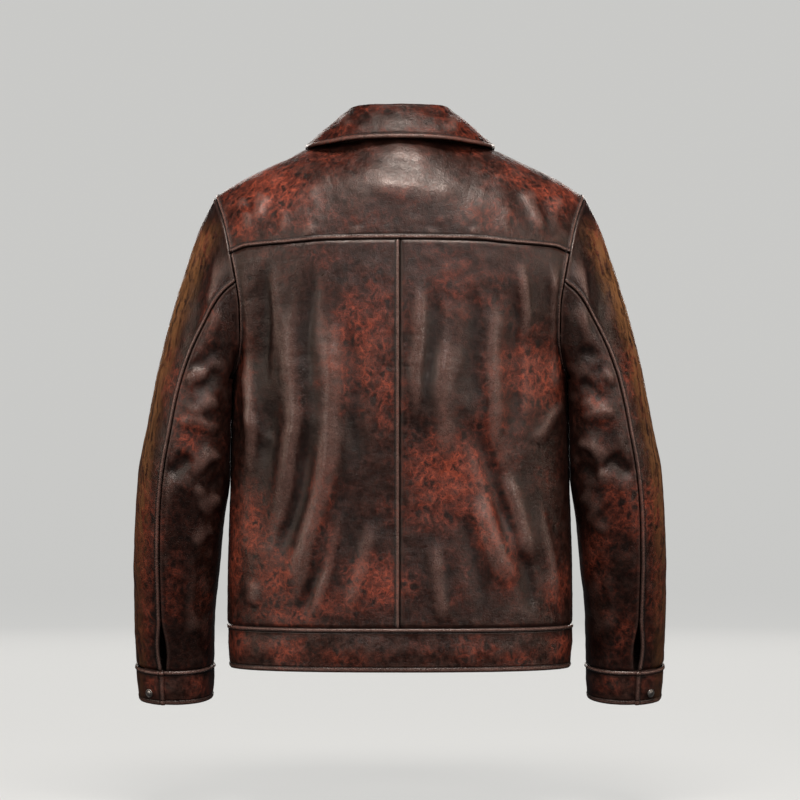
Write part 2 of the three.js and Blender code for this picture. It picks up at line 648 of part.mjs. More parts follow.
const FLAP_LIFT = BAND + 0.7;
const CUFF_TURNS = steps(FLAP_ANGLE, FLAP_ANGLE - 360 - 36, 40);
const flapLift = (turn) => {
  const fromEnd = FLAP_ANGLE - turn;
  return FLAP_LIFT * (1 - THREE.MathUtils.smoothstep(fromEnd, 40, 75));
};

const cuffPoint = (ring, turn) => {
  const wrapped = ((turn % 360) + 360) % 360;
  return sleevePoint(ring, wrapped, flapLift(turn));
};

function cuffNormal(ring, turn) {
  const wrapped = ((turn % 360) + 360) % 360;
  return sleeveNormal(ring, wrapped);
}

function makeCuff(side) {
  const rings = [CUFF_RING, HAND_RING];
  const outer = rings.map((ring) => CUFF_TURNS.map((turn) => cuffPoint(ring, turn)));
  const normals = rings.map((ring) => CUFF_TURNS.map((turn) => cuffNormal(ring, turn)));
  const edges = { top: HALF_GAP };
  return side === 'left'
    ? cloth(`cuff_${side}`, mirrored(outer), mirrored(normals), BAND, edges, leather())
    : cloth(`cuff_${side}`, outer, normals, BAND, edges, leather());
}

// ---- Snaps: small domed heads with a rolled rim ----------------------------------------------------------

function snapGeometry() {
  const profile = [
    [0, 0], [SNAP_RADIUS, 0], [SNAP_RADIUS, 1.2], [SNAP_RADIUS - 1, 1.7], [2.4, SNAP_HEIGHT - 0.3], [0, SNAP_HEIGHT],
  ];
  return new THREE.LatheGeometry(profile.map(([radius, height]) => new THREE.Vector2(radius, height)), 12);
}

function makeSnap(name, place, facing) {
  const mesh = new THREE.Mesh(snapGeometry(), nickel());
  mesh.name = name;
  mesh.position.copy(place).addScaledVector(facing, SEAM_GAP);
  mesh.quaternion.setFromUnitVectors(vec(0, 1, 0), facing);
  return mesh;
}

function makeSnaps() {
  const cuffRing = mix(CUFF_RING, HAND_RING, 0.66);
  const place = cuffPoint(cuffRing, CUFF_SNAP_ANGLE);
  const facing = cuffNormal(cuffRing, CUFF_SNAP_ANGLE);
  const flip = (v) => vec(-v.x, v.y, v.z);
  const down = [...PLACKET_SNAPS_Z, HEM_SNAP_Z].map((z, i) => {
    const turn = -turnAt(0, z);
    return makeSnap(`placket_snap_${i + 1}`, bodyPoint(0, turn, SEAM_GAP + BAND), bodyNormal(0, turn));
  });
  return [
    makeSnap('cuff_snap_left', flip(place), flip(facing)),
    makeSnap('cuff_snap_right', place, facing),
    ...down,
  ];
}

// ---- The whole jacket ---------------------------------------------------------------------------------------

const jacket = new THREE.Group();
jacket.add(
  ...makeBody(),
  ...makeWaistband(),
  makePlacket(),
  makeStand(),
  makeCollar(),
  ...makeSleeves(),
  makeCuff('left'),
  makeCuff('right'),
  ...makeSnaps(),
);

export default jacket;
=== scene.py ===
import bpy
import numpy as np
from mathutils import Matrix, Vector


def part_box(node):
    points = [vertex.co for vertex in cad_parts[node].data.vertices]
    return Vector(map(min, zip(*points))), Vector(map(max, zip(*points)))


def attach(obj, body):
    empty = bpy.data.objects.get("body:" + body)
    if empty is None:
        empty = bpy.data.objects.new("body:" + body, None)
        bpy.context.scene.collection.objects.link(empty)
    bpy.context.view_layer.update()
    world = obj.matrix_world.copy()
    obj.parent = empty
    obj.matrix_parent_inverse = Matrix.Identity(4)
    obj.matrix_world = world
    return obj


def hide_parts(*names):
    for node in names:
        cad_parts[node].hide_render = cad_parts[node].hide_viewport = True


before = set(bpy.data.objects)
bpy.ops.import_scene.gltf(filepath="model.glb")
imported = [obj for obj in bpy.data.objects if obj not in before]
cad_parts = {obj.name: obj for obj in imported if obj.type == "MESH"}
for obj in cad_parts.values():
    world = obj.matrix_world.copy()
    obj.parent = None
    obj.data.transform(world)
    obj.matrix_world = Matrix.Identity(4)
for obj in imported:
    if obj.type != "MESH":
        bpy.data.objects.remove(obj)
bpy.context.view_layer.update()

# ---- Back panels ---------------------------------------------------------------------------
# Two lengths of worn, waxed cowhide, joined down the centre back. They hang from the yoke in
# long soft folds. The left panel's turned edge is topstitched beside the centre seam.

MM = 0.001                      # the shapes below are worked out in millimetres
LEATHER = 1.8                   # the hide of the body and sleeves
SEAM_GAP = 0.3                  # between the edges of two pieces
HEM_SEAM_Z = -618
HEM_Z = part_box("waistband_back")[0].z / MM
ARMPIT_Z = -304
TIP_Z = -69                     # shoulder tip
TIP_X = 238
NECK_HALF = 92                  # half the width of the neck opening
ROLL = 125                      # drop in which the shoulder turns from level to upright


def smooth(points):
    """A smooth curve through (at, value) points, without overshoot."""
    at, value = np.array(points, float).T
    slope = np.diff(value) / np.diff(at)
    before, after = slope[:-1], slope[1:]
    turning = before * after <= 0
    inner = np.where(turning, 0, 2 * before * after / np.where(turning, 1, before + after))
    tangent = np.concatenate([slope[:1], inner, slope[-1:]])

    def curve(wanted):
        inside = np.clip(wanted, at[0], at[-1])
        i = np.clip(np.searchsorted(at, inside, side="right") - 1, 0, len(slope) - 1)
        span = at[i + 1] - at[i]
        t = (inside - at[i]) / span
        return ((2 * t**3 - 3 * t**2 + 1) * value[i] + (t**3 - 2 * t**2 + t) * span * tangent[i]
                + (3 * t**2 - 2 * t**3) * value[i + 1] + (t**3 - t**2) * span * tangent[i + 1])

    return curve


def fade(value, low, high):
    """0 below low, 1 above high, and smooth between."""
    t = np.clip((value - low) / (high - low), 0, 1)
    return t * t * (3 - 2 * t)


shoulder_line = smooth([
    (-NECK_HALF, 1.5), (0, 35), (NECK_HALF, 1.5), (124, -9), (146, -20),
    (177, -34), (205, -48), (228, -63), (TIP_X, TIP_Z), (262, -86),
])
half_width = smooth([
    (HEM_Z, 219), (-620, 221), (-547, 220.6), (-488, 219), (-427, 217), (ARMPIT_Z, 216),
    (-280, 216), (-250, 225), (-212, 239), (-180, 252), (-140, 262), (60, 262),
])
back_depth = smooth([
    (HEM_Z, 110), (HEM_SEAM_Z, 112), (-500, 112), (-400, 117),
    (-300, 124), (-200, 127), (-128, 125), (40, 120),
])
front_depth = smooth([
    (HEM_Z, 110), (HEM_SEAM_Z, 113), (-450, 116), (ARMPIT_Z, 118),
    (-220, 114), (-140, 102), (-75, 84), (0, 70),
])
armhole_x = smooth([
    (ARMPIT_Z, 216), (-298, 213), (-280, 207), (-250, 203), (-212, 203.5),
    (-180, 208), (-140, 216), (-100, 226), (TIP_Z, TIP_X),
])


def oval(share):
    squareness = 2.5
    return np.maximum(0, 1 - np.abs(share) ** squareness) ** (1 / squareness)


def turn_at(x, z):
    """How far, in degrees, the shoulder's roll has turned where the form reaches the height z."""
    drop = np.maximum(0, shoulder_line(np.abs(x)) - z)
    on_roll = np.arccos(1 - np.minimum(drop, ROLL) / ROLL)
    return np.degrees(np.where(drop < ROLL, on_roll, np.pi / 2 + drop / ROLL - 1))


def body_form(x, turn):
    """The form without folds: turn is 0 on top of the shoulder, positive behind, negative ahead."""
    t = np.abs(np.radians(turn))
    drop = ROLL * np.where(t < np.pi / 2, 1 - np.cos(t), 1 + t - np.pi / 2)
    z = shoulder_line(np.abs(x)) - drop
    depth = np.where(turn > 0, -back_depth(z), front_depth(z))
    return np.stack([x, depth * oval(x / half_width(z)) * np.sin(np.minimum(t, np.pi / 2)), z], -1)


ARMHOLE_MIDDLE_Z = (TIP_Z + ARMPIT_Z) / 2
ARMHOLE_HALF_Z = (TIP_Z - ARMPIT_Z) / 2
ARMHOLE_WAIST_Z = -280
TIP_SPREAD = np.arcsin(TIP_X / half_width(TIP_Z))
WAIST_SHARE = armhole_x(ARMHOLE_WAIST_Z) / half_width(ARMHOLE_WAIST_Z)
YOKE_SEAM_ANGLE = 69            # degrees round the armhole from the shoulder tip
SIDE_STEP = 2                   # past the armpit, mm down the side for each degree


def edge_station(angle, side):
    """Where a body panel's row ends: on the armhole up to 180 degrees, and on the side seam below."""
    around = np.minimum(np.abs(angle), 180)
    below = np.maximum(0, np.abs(angle) - 180) * SIDE_STEP
    z = ARMHOLE_MIDDLE_Z + ARMHOLE_HALF_Z * np.cos(np.radians(around)) - below
    x = np.where(below > 0, half_width(z), armhole_x(z))
    turn = turn_at(x, z) * side * np.where(angle < 0, -1, 1)
    return x, z, turn


def column_x(reach, z, column):
    """Where a column, a share of the way from the centre to the side, crosses a row."""
    width = np.maximum(half_width(z), reach)
    held = np.where(z > ARMHOLE_WAIST_Z, reach / width, WAIST_SHARE)
    share = held * np.sin(TIP_SPREAD * column) / np.sin(TIP_SPREAD)
    gain = np.arcsin(np.minimum(1, reach / width)) - np.arcsin(held)
    return width * np.sin(np.arcsin(share) + gain * column**5)


def spaced(length, step, fine_from_start=True):
    """Shares from 0 to 1 along a length in mm, with finer steps near the ends, where seams lie."""
    fine, reach = 0.75, 9.0
    near = np.arange(0, reach, fine)
    start = near if fine_from_start else np.array([0.0])
    end = length - near[::-1]
    first, last = start[-1], end[0]
    middle = np.linspace(first, last, max(2, int(np.ceil((last - first) / step))) + 1)[1:-1]
    return np.concatenate([start, middle, end]) / length


def body_grid(columns, angles, side, turn_of_top, turn_of_bottom):
    """Points of the form between two edges, in rows that end on the armhole or the side seam."""
    reach, z, turn = (value[:, None] for value in edge_station(angles, side))
    share = (turn - turn[0]) / (turn[-1] - turn[0])
    x = column_x(reach, z, columns[None, :])
    turns = turn_of_top(x[0]) * (1 - share) + turn_of_bottom(x[-1]) * share
    return body_form(x, turns)


def distance_along(path):
    """How far each point of a path is from its first one."""
    return np.concatenate([[0], np.cumsum(np.linalg.norm(np.diff(path, axis=0), axis=1))])


def evenly(values, path, step):
    """Values taken at even distances along the path that they make."""
    length = distance_along(path)
    return np.interp(spaced(length[-1], step) * length[-1], length, values)


def even_angles(first, last, side, step):
    """Row ends at even distances along the armhole and the side seam."""
    sample = np.linspace(first, last, 800)
    x, _, turn = edge_station(sample, side)
    return evenly(sample, body_form(x, turn), step)


def arc(points, axis):
    """Distances along one direction of a grid, from its first line."""
    step = np.linalg.norm(np.diff(points, axis=axis), axis=-1)
    start = np.zeros_like(np.take(step, [0], axis=axis))
    return np.concatenate([start, np.cumsum(step, axis=axis)], axis=axis)


def edge_distances(points):
    """How far each point of a grid is from each of its four edges, over the surface."""
    down, across = arc(points, 0), arc(points, 1)
    return {"top": down, "bottom": down[-1:] - down, "left": across, "right": across[:, -1:] - across}


def unit(directions):
    return directions / np.maximum(np.linalg.norm(directions, axis=-1, keepdims=True), 1e-9)


def grid_normals(points, outward):
    """Normals of a grid, all on the side that the outward directions point to."""
    normal = unit(np.cross(np.gradient(points, axis=1), np.gradient(points, axis=0)))
    return normal if np.sum(normal * outward) > 0 else -normal


def wandering(x, z):
    """The place on the panel, pushed about so that folds drawn straight run unevenly."""
    moved_x = x + 4 * np.sin(z / 52 + x / 90 + 1.3) + 1.3 * np.sin(z / 19 - x / 40)
    moved_z = z + 5 * np.sin(x / 27 + z / 80 + 0.4)
    swell = 0.85 + 0.3 * np.sin(z / 45 + x / 23 + 0.8) * np.sin(z / 71 - x / 37)
    return moved_x, moved_z, swell


def crease_height(creases, x, z):
    """Ridges and troughs along paths of (x, z) points, by height, spread and lean.

    They taper to both ends, and the lean makes one flank steeper than the other.
    """
    x, z, swell = wandering(x, z)
    total = np.zeros_like(x)
    for path, height, spread, lean in creases:
        points = np.array(path, float)
        lengths = np.hypot(*np.diff(points, axis=0).T)
        best = np.full_like(x, np.inf)
        side, along = np.zeros_like(x), np.zeros_like(x)
        for i, length in enumerate(lengths):
            (ax, az), (bx, bz) = points[i], points[i + 1]
            t = np.clip(((x - ax) * (bx - ax) + (z - az) * (bz - az)) / length**2, 0, 1)
            away = np.hypot(x - ax - t * (bx - ax), z - az - t * (bz - az))
            closer = away < best
            best = np.where(closer, away, best)
            side = np.where(closer, np.sign((x - ax) * (bz - az) - (z - az) * (bx - ax)), side)
            along = np.where(closer, (lengths[:i].sum() + t * length) / lengths.sum(), along)
        width = spread * 0.85 * (1 + lean * side)
        taper = fade(np.minimum(along, 1 - along), 0, 0.3)
        total += 1.6 * height * taper * np.exp(-((best / width) ** 2) / 2)
    return total * swell


def fold_height(folds, x, z):
    """Broad soft ridges and troughs, with no lean."""
    return crease_height([(path, height, spread, 0) for path, height, spread in folds], x, z)


def rolling(points, size, seed):
    """Gentle uneven waves about one size in mm, between about -1 and 1."""
    chance = np.random.default_rng(seed)
    total = np.zeros(points.shape[:-1])
    for octave in (1, 1.7, 2.9):
        for _ in range(7):
            way = chance.normal(size=3)
            way *= 2 * np.pi / (np.linalg.norm(way) * size) * octave * chance.uniform(0.7, 1.3)
            total += np.cos(points @ way + chance.uniform(0, 2 * np.pi)) / octave
    return total / 4.5


STITCH_INSET = 6.2
RIB_INSET = 2.6                 # of the padded ridge between a seam and its stitches
RIB_SPREAD = 2.2


def edge_height(distance, style):
    """How a sewn or turned edge stands above or below the panel, by the distance from it."""
    tuck = np.exp(-((distance / 1.0) ** 2))
    raised = 1 - fade(distance, STITCH_INSET - 0.4, STITCH_INSET + 2.4)
    dome = np.exp(-(((distance - 2.9) / RIB_SPREAD) ** 2))
    groove = np.exp(-(((distance - STITCH_INSET) / 0.8) ** 2))
    return {
        "stitched": 0.6 * raised + 0.8 * dome - 1.9 * tuck - 0.9 * groove,
        "seamed": 0.7 * np.exp(-(((distance - RIB_INSET) / RIB_SPREAD) ** 2)) - 1.6 * tuck,
        "under": -1.1 * (1 - fade(distance, 0, 5)) - 0.6 * tuck,
        "turned": 0.1 * raised + 0.4 * dome - 0.7 * tuck - 0.7 * groove,
        "open": -0.3 * tuck,
    }[style]


def edge_wear_and_sheen(distance, style):
    """Wear and painted highlight on the raised band beside a seam, from 0 to 1."""
    peak = {"stitched": 1.0, "seamed": 0.25, "under": 0.0, "turned": 0.75, "open": 0.3}[style]
    return peak * np.exp(-(((distance - RIB_INSET) / RIB_SPREAD) ** 2))


def edge_grime(distance, style):
    """Dark wax and dirt in the seam itself and along the stitches."""
    crack = {"stitched": 1.0, "seamed": 1.0, "under": 1.0, "turned": 0.0, "open": 0.0}[style]
    sewn = {"stitched": 0.95, "seamed": 0.0, "under": 0.0, "turned": 0.7, "open": 0.0}[style]
    return np.maximum(crack * np.exp(-((distance / 1.3) ** 2)),
                      sewn * np.exp(-(((distance - STITCH_INSET) / 1.0) ** 2)))


def puckers(distances, style, edge, seed):
    """Small gathers that a line of stitches draws across a seam."""
    along = distances["left"] if edge in ("top", "bottom") else distances["top"]
    chance = np.random.default_rng(seed)
    wave = np.zeros_like(along)
    for size in (9, 13, 21, 34):
        wave += np.sin(2 * np.pi * along / size / chance.uniform(0.9, 1.1) + chance.uniform(0, 6.3))
    reach = {"stitched": 14, "seamed": 12, "under": 16, "turned": 9, "open": 8}[style]
    return 0.14 * wave * np.exp(-distances[edge] / reach)


def patch_amount(patches, x, z):
    """Rust-red patches, each an ellipse (x, z, half width, half height, strength)."""
    total = np.zeros_like(x)
    for px, pz, rx, rz, strength in patches:
        away = ((x - px) / rx) ** 2 + ((z - pz) / rz) ** 2
        total = np.maximum(total, strength * np.exp(-0.9 * away))
    return total


def smooth_mesh(name, points, faces, materials):
    """An object that is shaded smooth, from points in mm."""
    mesh = bpy.data.meshes.new(name)
    mesh.from_pydata((np.array(points) * MM).tolist(), [], faces)
    mesh.polygons.foreach_set("use_smooth", np.ones(len(faces), bool))
    for material in materials:
        mesh.materials.append(material)
    made = bpy.data.objects.new(name, mesh)
    bpy.context.scene.collection.objects.link(made)
    return made


FREE_STYLES = ("turned", "open")


def pulled_in(points):
    """The grid with its border moved in by half a seam's gap."""
    moved = points.copy()
    for edge, inner in (((0,), (1,)), ((-1,), (-2,))):
        for grid in (moved, moved.transpose(1, 0, 2)):
            grid[edge] += unit(grid[inner] - grid[edge]) * SEAM_GAP / 2
    return moved


def shell(name, outer, inward, thickness, edges, masks, materials):
    """A closed wall of leather from its outer grid: two faces and a rounded rim of turned edge."""
    rows, columns = outer.shape[:2]
    inner = outer + inward * thickness
    count = rows * columns
    index = np.arange(count).reshape(rows, columns)
    corners = [index[:-1, :-1], index[1:, :-1], index[1:, 1:], index[:-1, 1:]]
    quads = np.stack(corners, -1).reshape(-1, 4)
    border = np.concatenate([index[0, :-1], index[:-1, -1], index[-1, :0:-1], index[:0:-1, 0]])
    inside = np.concatenate([index[1, :-1], index[:-1, -2], index[-2, :0:-1], index[:0:-1, 1]])
    free = np.repeat([edges[e] in FREE_STYLES for e in ("top", "right", "bottom", "left")],
                     [columns - 1, rows - 1, columns - 1, rows - 1])
    flat_outer, flat_inner = outer.reshape(-1, 3), inner.reshape(-1, 3)
    away = unit(flat_outer[border] - flat_outer[inside])
    bulge = np.where(free, 0.4, 0.02)[:, None] * thickness
    rim = (flat_outer[border] + flat_inner[border]) / 2 + away * bulge
    rim_index = 2 * count + np.arange(len(border))
    following = np.roll(np.arange(len(border)), -1)
    upper = np.stack([border, border[following], rim_index[following], rim_index], 1)
    lower = np.stack([rim_index, rim_index[following], border[following] + count, border + count], 1)
    faces = np.concatenate([quads, quads[:, ::-1] + count, upper, lower])
    points = np.concatenate([flat_outer, flat_inner, rim])
    first, second, third, fourth = points[faces].transpose(1, 0, 2)
    volume = np.sum(first * (np.cross(second, third) + np.cross(third, fourth)))
    if volume < 0:
        faces = faces[:, ::-1]

    piece = smooth_mesh(name, points, faces.tolist(), materials)
    mesh = piece.data
    on_flesh = np.zeros(len(faces), np.int32)
    on_flesh[len(quads):2 * len(quads)] = 1
    mesh.polygons.foreach_set("material_index", on_flesh)
    for mask, values in masks.items():
        layer = mesh.attributes.new(mask, "FLOAT", "POINT")
        flat = np.clip(values, 0, 1).ravel()
        layer.data.foreach_set("value", np.concatenate([flat, flat, flat[border]]).astype(np.float32))

    across, down = np.meshgrid(np.linspace(0.01, 0.49, columns), np.linspace(0.01, 0.99, rows))
    flat_uv = np.stack([across.ravel(), down.ravel()], 1)
    place = np.concatenate([flat_uv, flat_uv + [0.5, 0], flat_uv[border]])
    corner = faces.ravel()
    uv = place[corner]
    rim_corners = np.arange(len(corner)) >= 4 * 2 * len(quads)
    on_inner = (corner >= count) & (corner < 2 * count)
    uv[rim_corners & on_inner] -= [0.5, 0]
    mesh.uv_layers.new(name="OFBake").data.foreach_set("uv", uv.ravel().astype(np.float32))
    return piece


def smoothed(field, times):
    """The field with each point averaged with its neighbours, over and over."""
    for _ in range(times):
        padded = np.pad(field, 1, mode="edge")
        around = padded[:-2, 1:-1] + padded[2:, 1:-1] + padded[1:-1, :-2] + padded[1:-1, 2:]
        field = around / 8 + field / 2
    return field


CREST_RISE = 1.5                # above its surroundings, where a fold's crest gets the most painted highlight
FOLD_REACH = 44                 # rounds of smoothing that take a fold out of the surface
# Strength of the painted highlight on fold crests and of the painted shade in fold troughs.
CREST_SHEEN = 0.66
TROUGH_SHADE = 0.6


def make_cloth(name, plain, outward, edges, relief, thickness, patches, materials,
               seed, tan=0, gapped=True, pucker=1.0):
    """One cut piece, told to the frame: its plain grid with relief (mm) and seam shaping added."""
    plain = pulled_in(plain) if gapped else plain
    distances = edge_distances(plain)
    normal = grid_normals(plain, outward)
    height = relief + 0.35 * rolling(plain, 46, seed) + 0.12 * rolling(plain, 13, seed + 50)
    band_wear_and_sheen = np.zeros(plain.shape[:2])
    calm = np.ones(plain.shape[:2])
    for number, (edge, style) in enumerate(edges.items()):
        height = height + puckers(distances, style, edge, seed * 10 + number) * pucker
        calm = calm * fade(distances[edge], 0, 12)
    height = height * (0.35 + 0.65 * calm)
    # The relief above or below its smoothed self sets painted highlight on the folds' crests and
    # painted shade in their troughs.
    above = (height - smoothed(height, FOLD_REACH)) * calm / CREST_RISE
    crest = CREST_SHEEN * np.clip(above, 0, 1)
    dirt_and_shade = TROUGH_SHADE * np.clip(-above, 0, 1)
    # Each seam adds its shaping, wear and painted highlight on its raised band, and dirt in the seam
    # itself.
    for edge, style in edges.items():
        height = height + edge_height(distances[edge], style)
        band_wear_and_sheen = np.maximum(band_wear_and_sheen, edge_wear_and_sheen(distances[edge], style))
        dirt_and_shade = np.maximum(dirt_and_shade, edge_grime(distances[edge], style))
    outer = plain + normal * height[..., None]
    # Masks for the shader: patches, wear with painted highlight, tan, and seam dirt with painted shade
    # in the troughs.
    masks = {
        "patch": patch_amount(patches, plain[..., 0], plain[..., 2]),
        "wear_and_sheen": np.maximum(band_wear_and_sheen, crest),
        "tan": np.zeros(plain.shape[:2]) + tan,
        "dirt_and_shade": dirt_and_shade,
    }
    outer_normal = grid_normals(outer, outward)
    piece = shell(f"{name}_leather", outer, -outer_normal, thickness, edges, masks, materials)
    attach(piece, "root")
    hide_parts(name)
    return piece, outer, outer_normal


# Thread: each line of topstitching is a row of short, sunk capsules joined in one mesh.

STITCH_PITCH = 3.6
STITCH_LENGTH = 2.7
THREAD_RADIUS = 0.42
THREAD_SIDES = 5
# One stitch from end to end: place along it, thickness, and rise above the leather.
THREAD_PROFILE = [(-1, 0.45, -0.35), (-0.72, 1, 0.1), (0.72, 1, 0.1), (1, 0.45, -0.35)]


def seam_line(outer, normal, edge, inset, trim=(0.0, 0.0)):
    """Points and normals a fixed distance in from one edge of a grid. trim drops mm at each end."""
    if edge in ("left", "right"):
        outer, normal = outer.transpose(1, 0, 2), normal.transpose(1, 0, 2)
    if edge in ("bottom", "right"):
        outer, normal = outer[::-1], normal[::-1]
    reach = arc(outer, 0)
    rows = np.arange(len(outer))
    place = np.array([np.interp(inset, reach[:, j], rows) for j in range(outer.shape[1])])
    row = np.minimum(place.astype(int), len(outer) - 2)
    part = (place - row)[:, None]
    column = np.arange(outer.shape[1])
    points = outer[row, column] * (1 - part) + outer[row + 1, column] * part
    normals = normal[row, column]
    along = distance_along(points)
    kept = (along >= trim[0]) & (along <= along[-1] - trim[1])
    return points[kept], normals[kept]


def tube_faces(base, rings, sides):
    """The side faces of a tube whose rings of points start at one index."""
    faces = []
    for ring in range(rings - 1):
        for k in range(sides):
            a, b = base + ring * sides + k, base + ring * sides + (k + 1) % sides
            faces.append((a, b, b + sides, a + sides))
    return faces


def sew(name, lines, material):
    """All the stitches of one group of seams."""
    points, faces = [], []
    corners = np.radians(np.arange(THREAD_SIDES) * 360 / THREAD_SIDES)
    for path, normals in lines:
        along = distance_along(path)

        def taken(places, values):
            return np.stack([np.interp(places, along, values[:, k]) for k in range(3)], 1)

        middles = np.arange(STITCH_PITCH / 2, along[-1], STITCH_PITCH)
        centre = taken(middles, path)
        way = unit(taken(middles + 0.8, path) - taken(middles - 0.8, path))
        side = unit(np.cross(way, taken(middles, normals)))
        up = np.cross(side, way)
        for m in range(len(middles)):
            base = len(points)
            for share, size, rise in THREAD_PROFILE:
                ring_centre = centre[m] + way[m] * share * STITCH_LENGTH / 2 + up[m] * rise
                for corner in corners:
                    spoke = side[m] * np.cos(corner) + up[m] * np.sin(corner)
                    points.append(ring_centre + THREAD_RADIUS * size * spoke)
            faces += tube_faces(base, len(THREAD_PROFILE), THREAD_SIDES)
            faces.append(tuple(range(base + THREAD_SIDES - 1, base - 1, -1)))
            faces.append(tuple(range(len(points) - THREAD_SIDES, len(points))))
    stitches = smooth_mesh(name, points, faces, [material])
    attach(stitches, "root")
    return stitches


# Leather: shader node groups for the pebbled grain and for the worn patina.

def node(tree, kind, inputs=(), **settings):
    """A shader node with its settings and its inputs, which are values or other nodes' outputs."""
    made = tree.nodes.new(kind)
    for name, value in settings.items():
        setattr(made, name, value)
    for socket, value in dict(inputs).items():
        if isinstance(value, bpy.types.NodeSocket):
            tree.links.new(value, made.inputs[socket])
        else:
            made.inputs[socket].default_value = value
    return made


def calc(tree, operation, a, b=0.0, c=0.0):
    return node(tree, "ShaderNodeMath", {0: a, 1: b, 2: c}, operation=operation).outputs[0]


def remap(tree, value, low, high, to_low=0.0, to_high=1.0):
    limits = {"From Min": low, "From Max": high, "To Min": to_low, "To Max": to_high}
    made = node(tree, "ShaderNodeMapRange", {"Value": value, **limits}, interpolation_type="SMOOTHSTEP")
    return made.outputs["Result"]


def blend_colour(tree, share, first, second):
    made = node(tree, "ShaderNodeMix", {"Factor": share, 6: first, 7: second}, data_type="RGBA")
    return made.outputs[2]


def noise(tree, where, scale, detail, roughness=0.55, output="Fac"):
    made = node(tree, "ShaderNodeTexNoise", {
        "Vector": where, "Scale": scale, "Detail": detail, "Roughness": roughness,
    })
    return made.outputs[output]


def scaled(tree, where, factors):
    made = node(tree, "ShaderNodeVectorMath", {0: where, 1: factors}, operation="MULTIPLY")
    return made.outputs[0]


def drifted(tree, where, scale, detail, reach, seen_from):
    """A place pushed about by noise that is read at another, so that patterns run unevenly."""
    push = noise(tree, seen_from, scale, detail, output="Color")
    made = node(tree, "ShaderNodeVectorMath", {0: push, 1: (reach,) * 3, 2: where},
                operation="MULTIPLY_ADD")
    return made.outputs[0]


def cell_edges(tree, where, scale, **inputs):
    """The distance to the nearest border of rounded cells."""
    made = node(tree, "ShaderNodeTexVoronoi", {"Vector": where, "Scale": scale, **inputs},
                feature="DISTANCE_TO_EDGE")
    return made.outputs["Distance"]


def object_place(tree):
    return node(tree, "ShaderNodeTexCoord").outputs["Object"]


def group(name, wanted, given):
    """An empty node group with named sockets; the value of each input is its default."""
    tree = bpy.data.node_groups.new(name, "ShaderNodeTree")
    for label, (kind, value) in wanted.items():
        socket = tree.interface.new_socket(label, in_out="INPUT", socket_type=kind)
        socket.default_value = value
    for label, kind in given.items():
        tree.interface.new_socket(label, in_out="OUTPUT", socket_type=kind)
    return tree, tree.nodes.new("NodeGroupInput"), tree.nodes.new("NodeGroupOutput")


def grain_group():
    """Fine pebbles, pores and short surface wrinkles of cowhide. Sizes are in mm, Height in metres."""
    tree, given, out = group("cowhide grain", {
        "Pebble Size": ("NodeSocketFloat", 2.2),
        "Depth": ("NodeSocketFloat", 0.1),
    }, {"Height": "NodeSocketFloat"})
    place = object_place(tree)
    bent = drifted(tree, place, 260, 2, 0.0016, place)
    per_metre = calc(tree, "DIVIDE", 1000.0, given.outputs["Pebble Size"])
    pebble = remap(tree, cell_edges(tree, bent, per_metre, Randomness=0.95), 0.0, 0.32)
    wrinkles = calc(tree, "ABSOLUTE", calc(tree, "SUBTRACT", noise(tree, bent, 210, 4, 0.6), 0.5))
    wrinkles = remap(tree, wrinkles, 0.0, 0.07)
    fine = noise(tree, place, 1500, 2)
    height = calc(tree, "MULTIPLY_ADD", pebble, 0.5, calc(tree, "MULTIPLY", wrinkles, 0.55))
    height = calc(tree, "MULTIPLY_ADD", fine, 0.3, height)
    height = calc(tree, "MULTIPLY", height, calc(tree, "MULTIPLY", given.outputs["Depth"], MM))
    tree.links.new(height, out.inputs["Height"])
    return tree


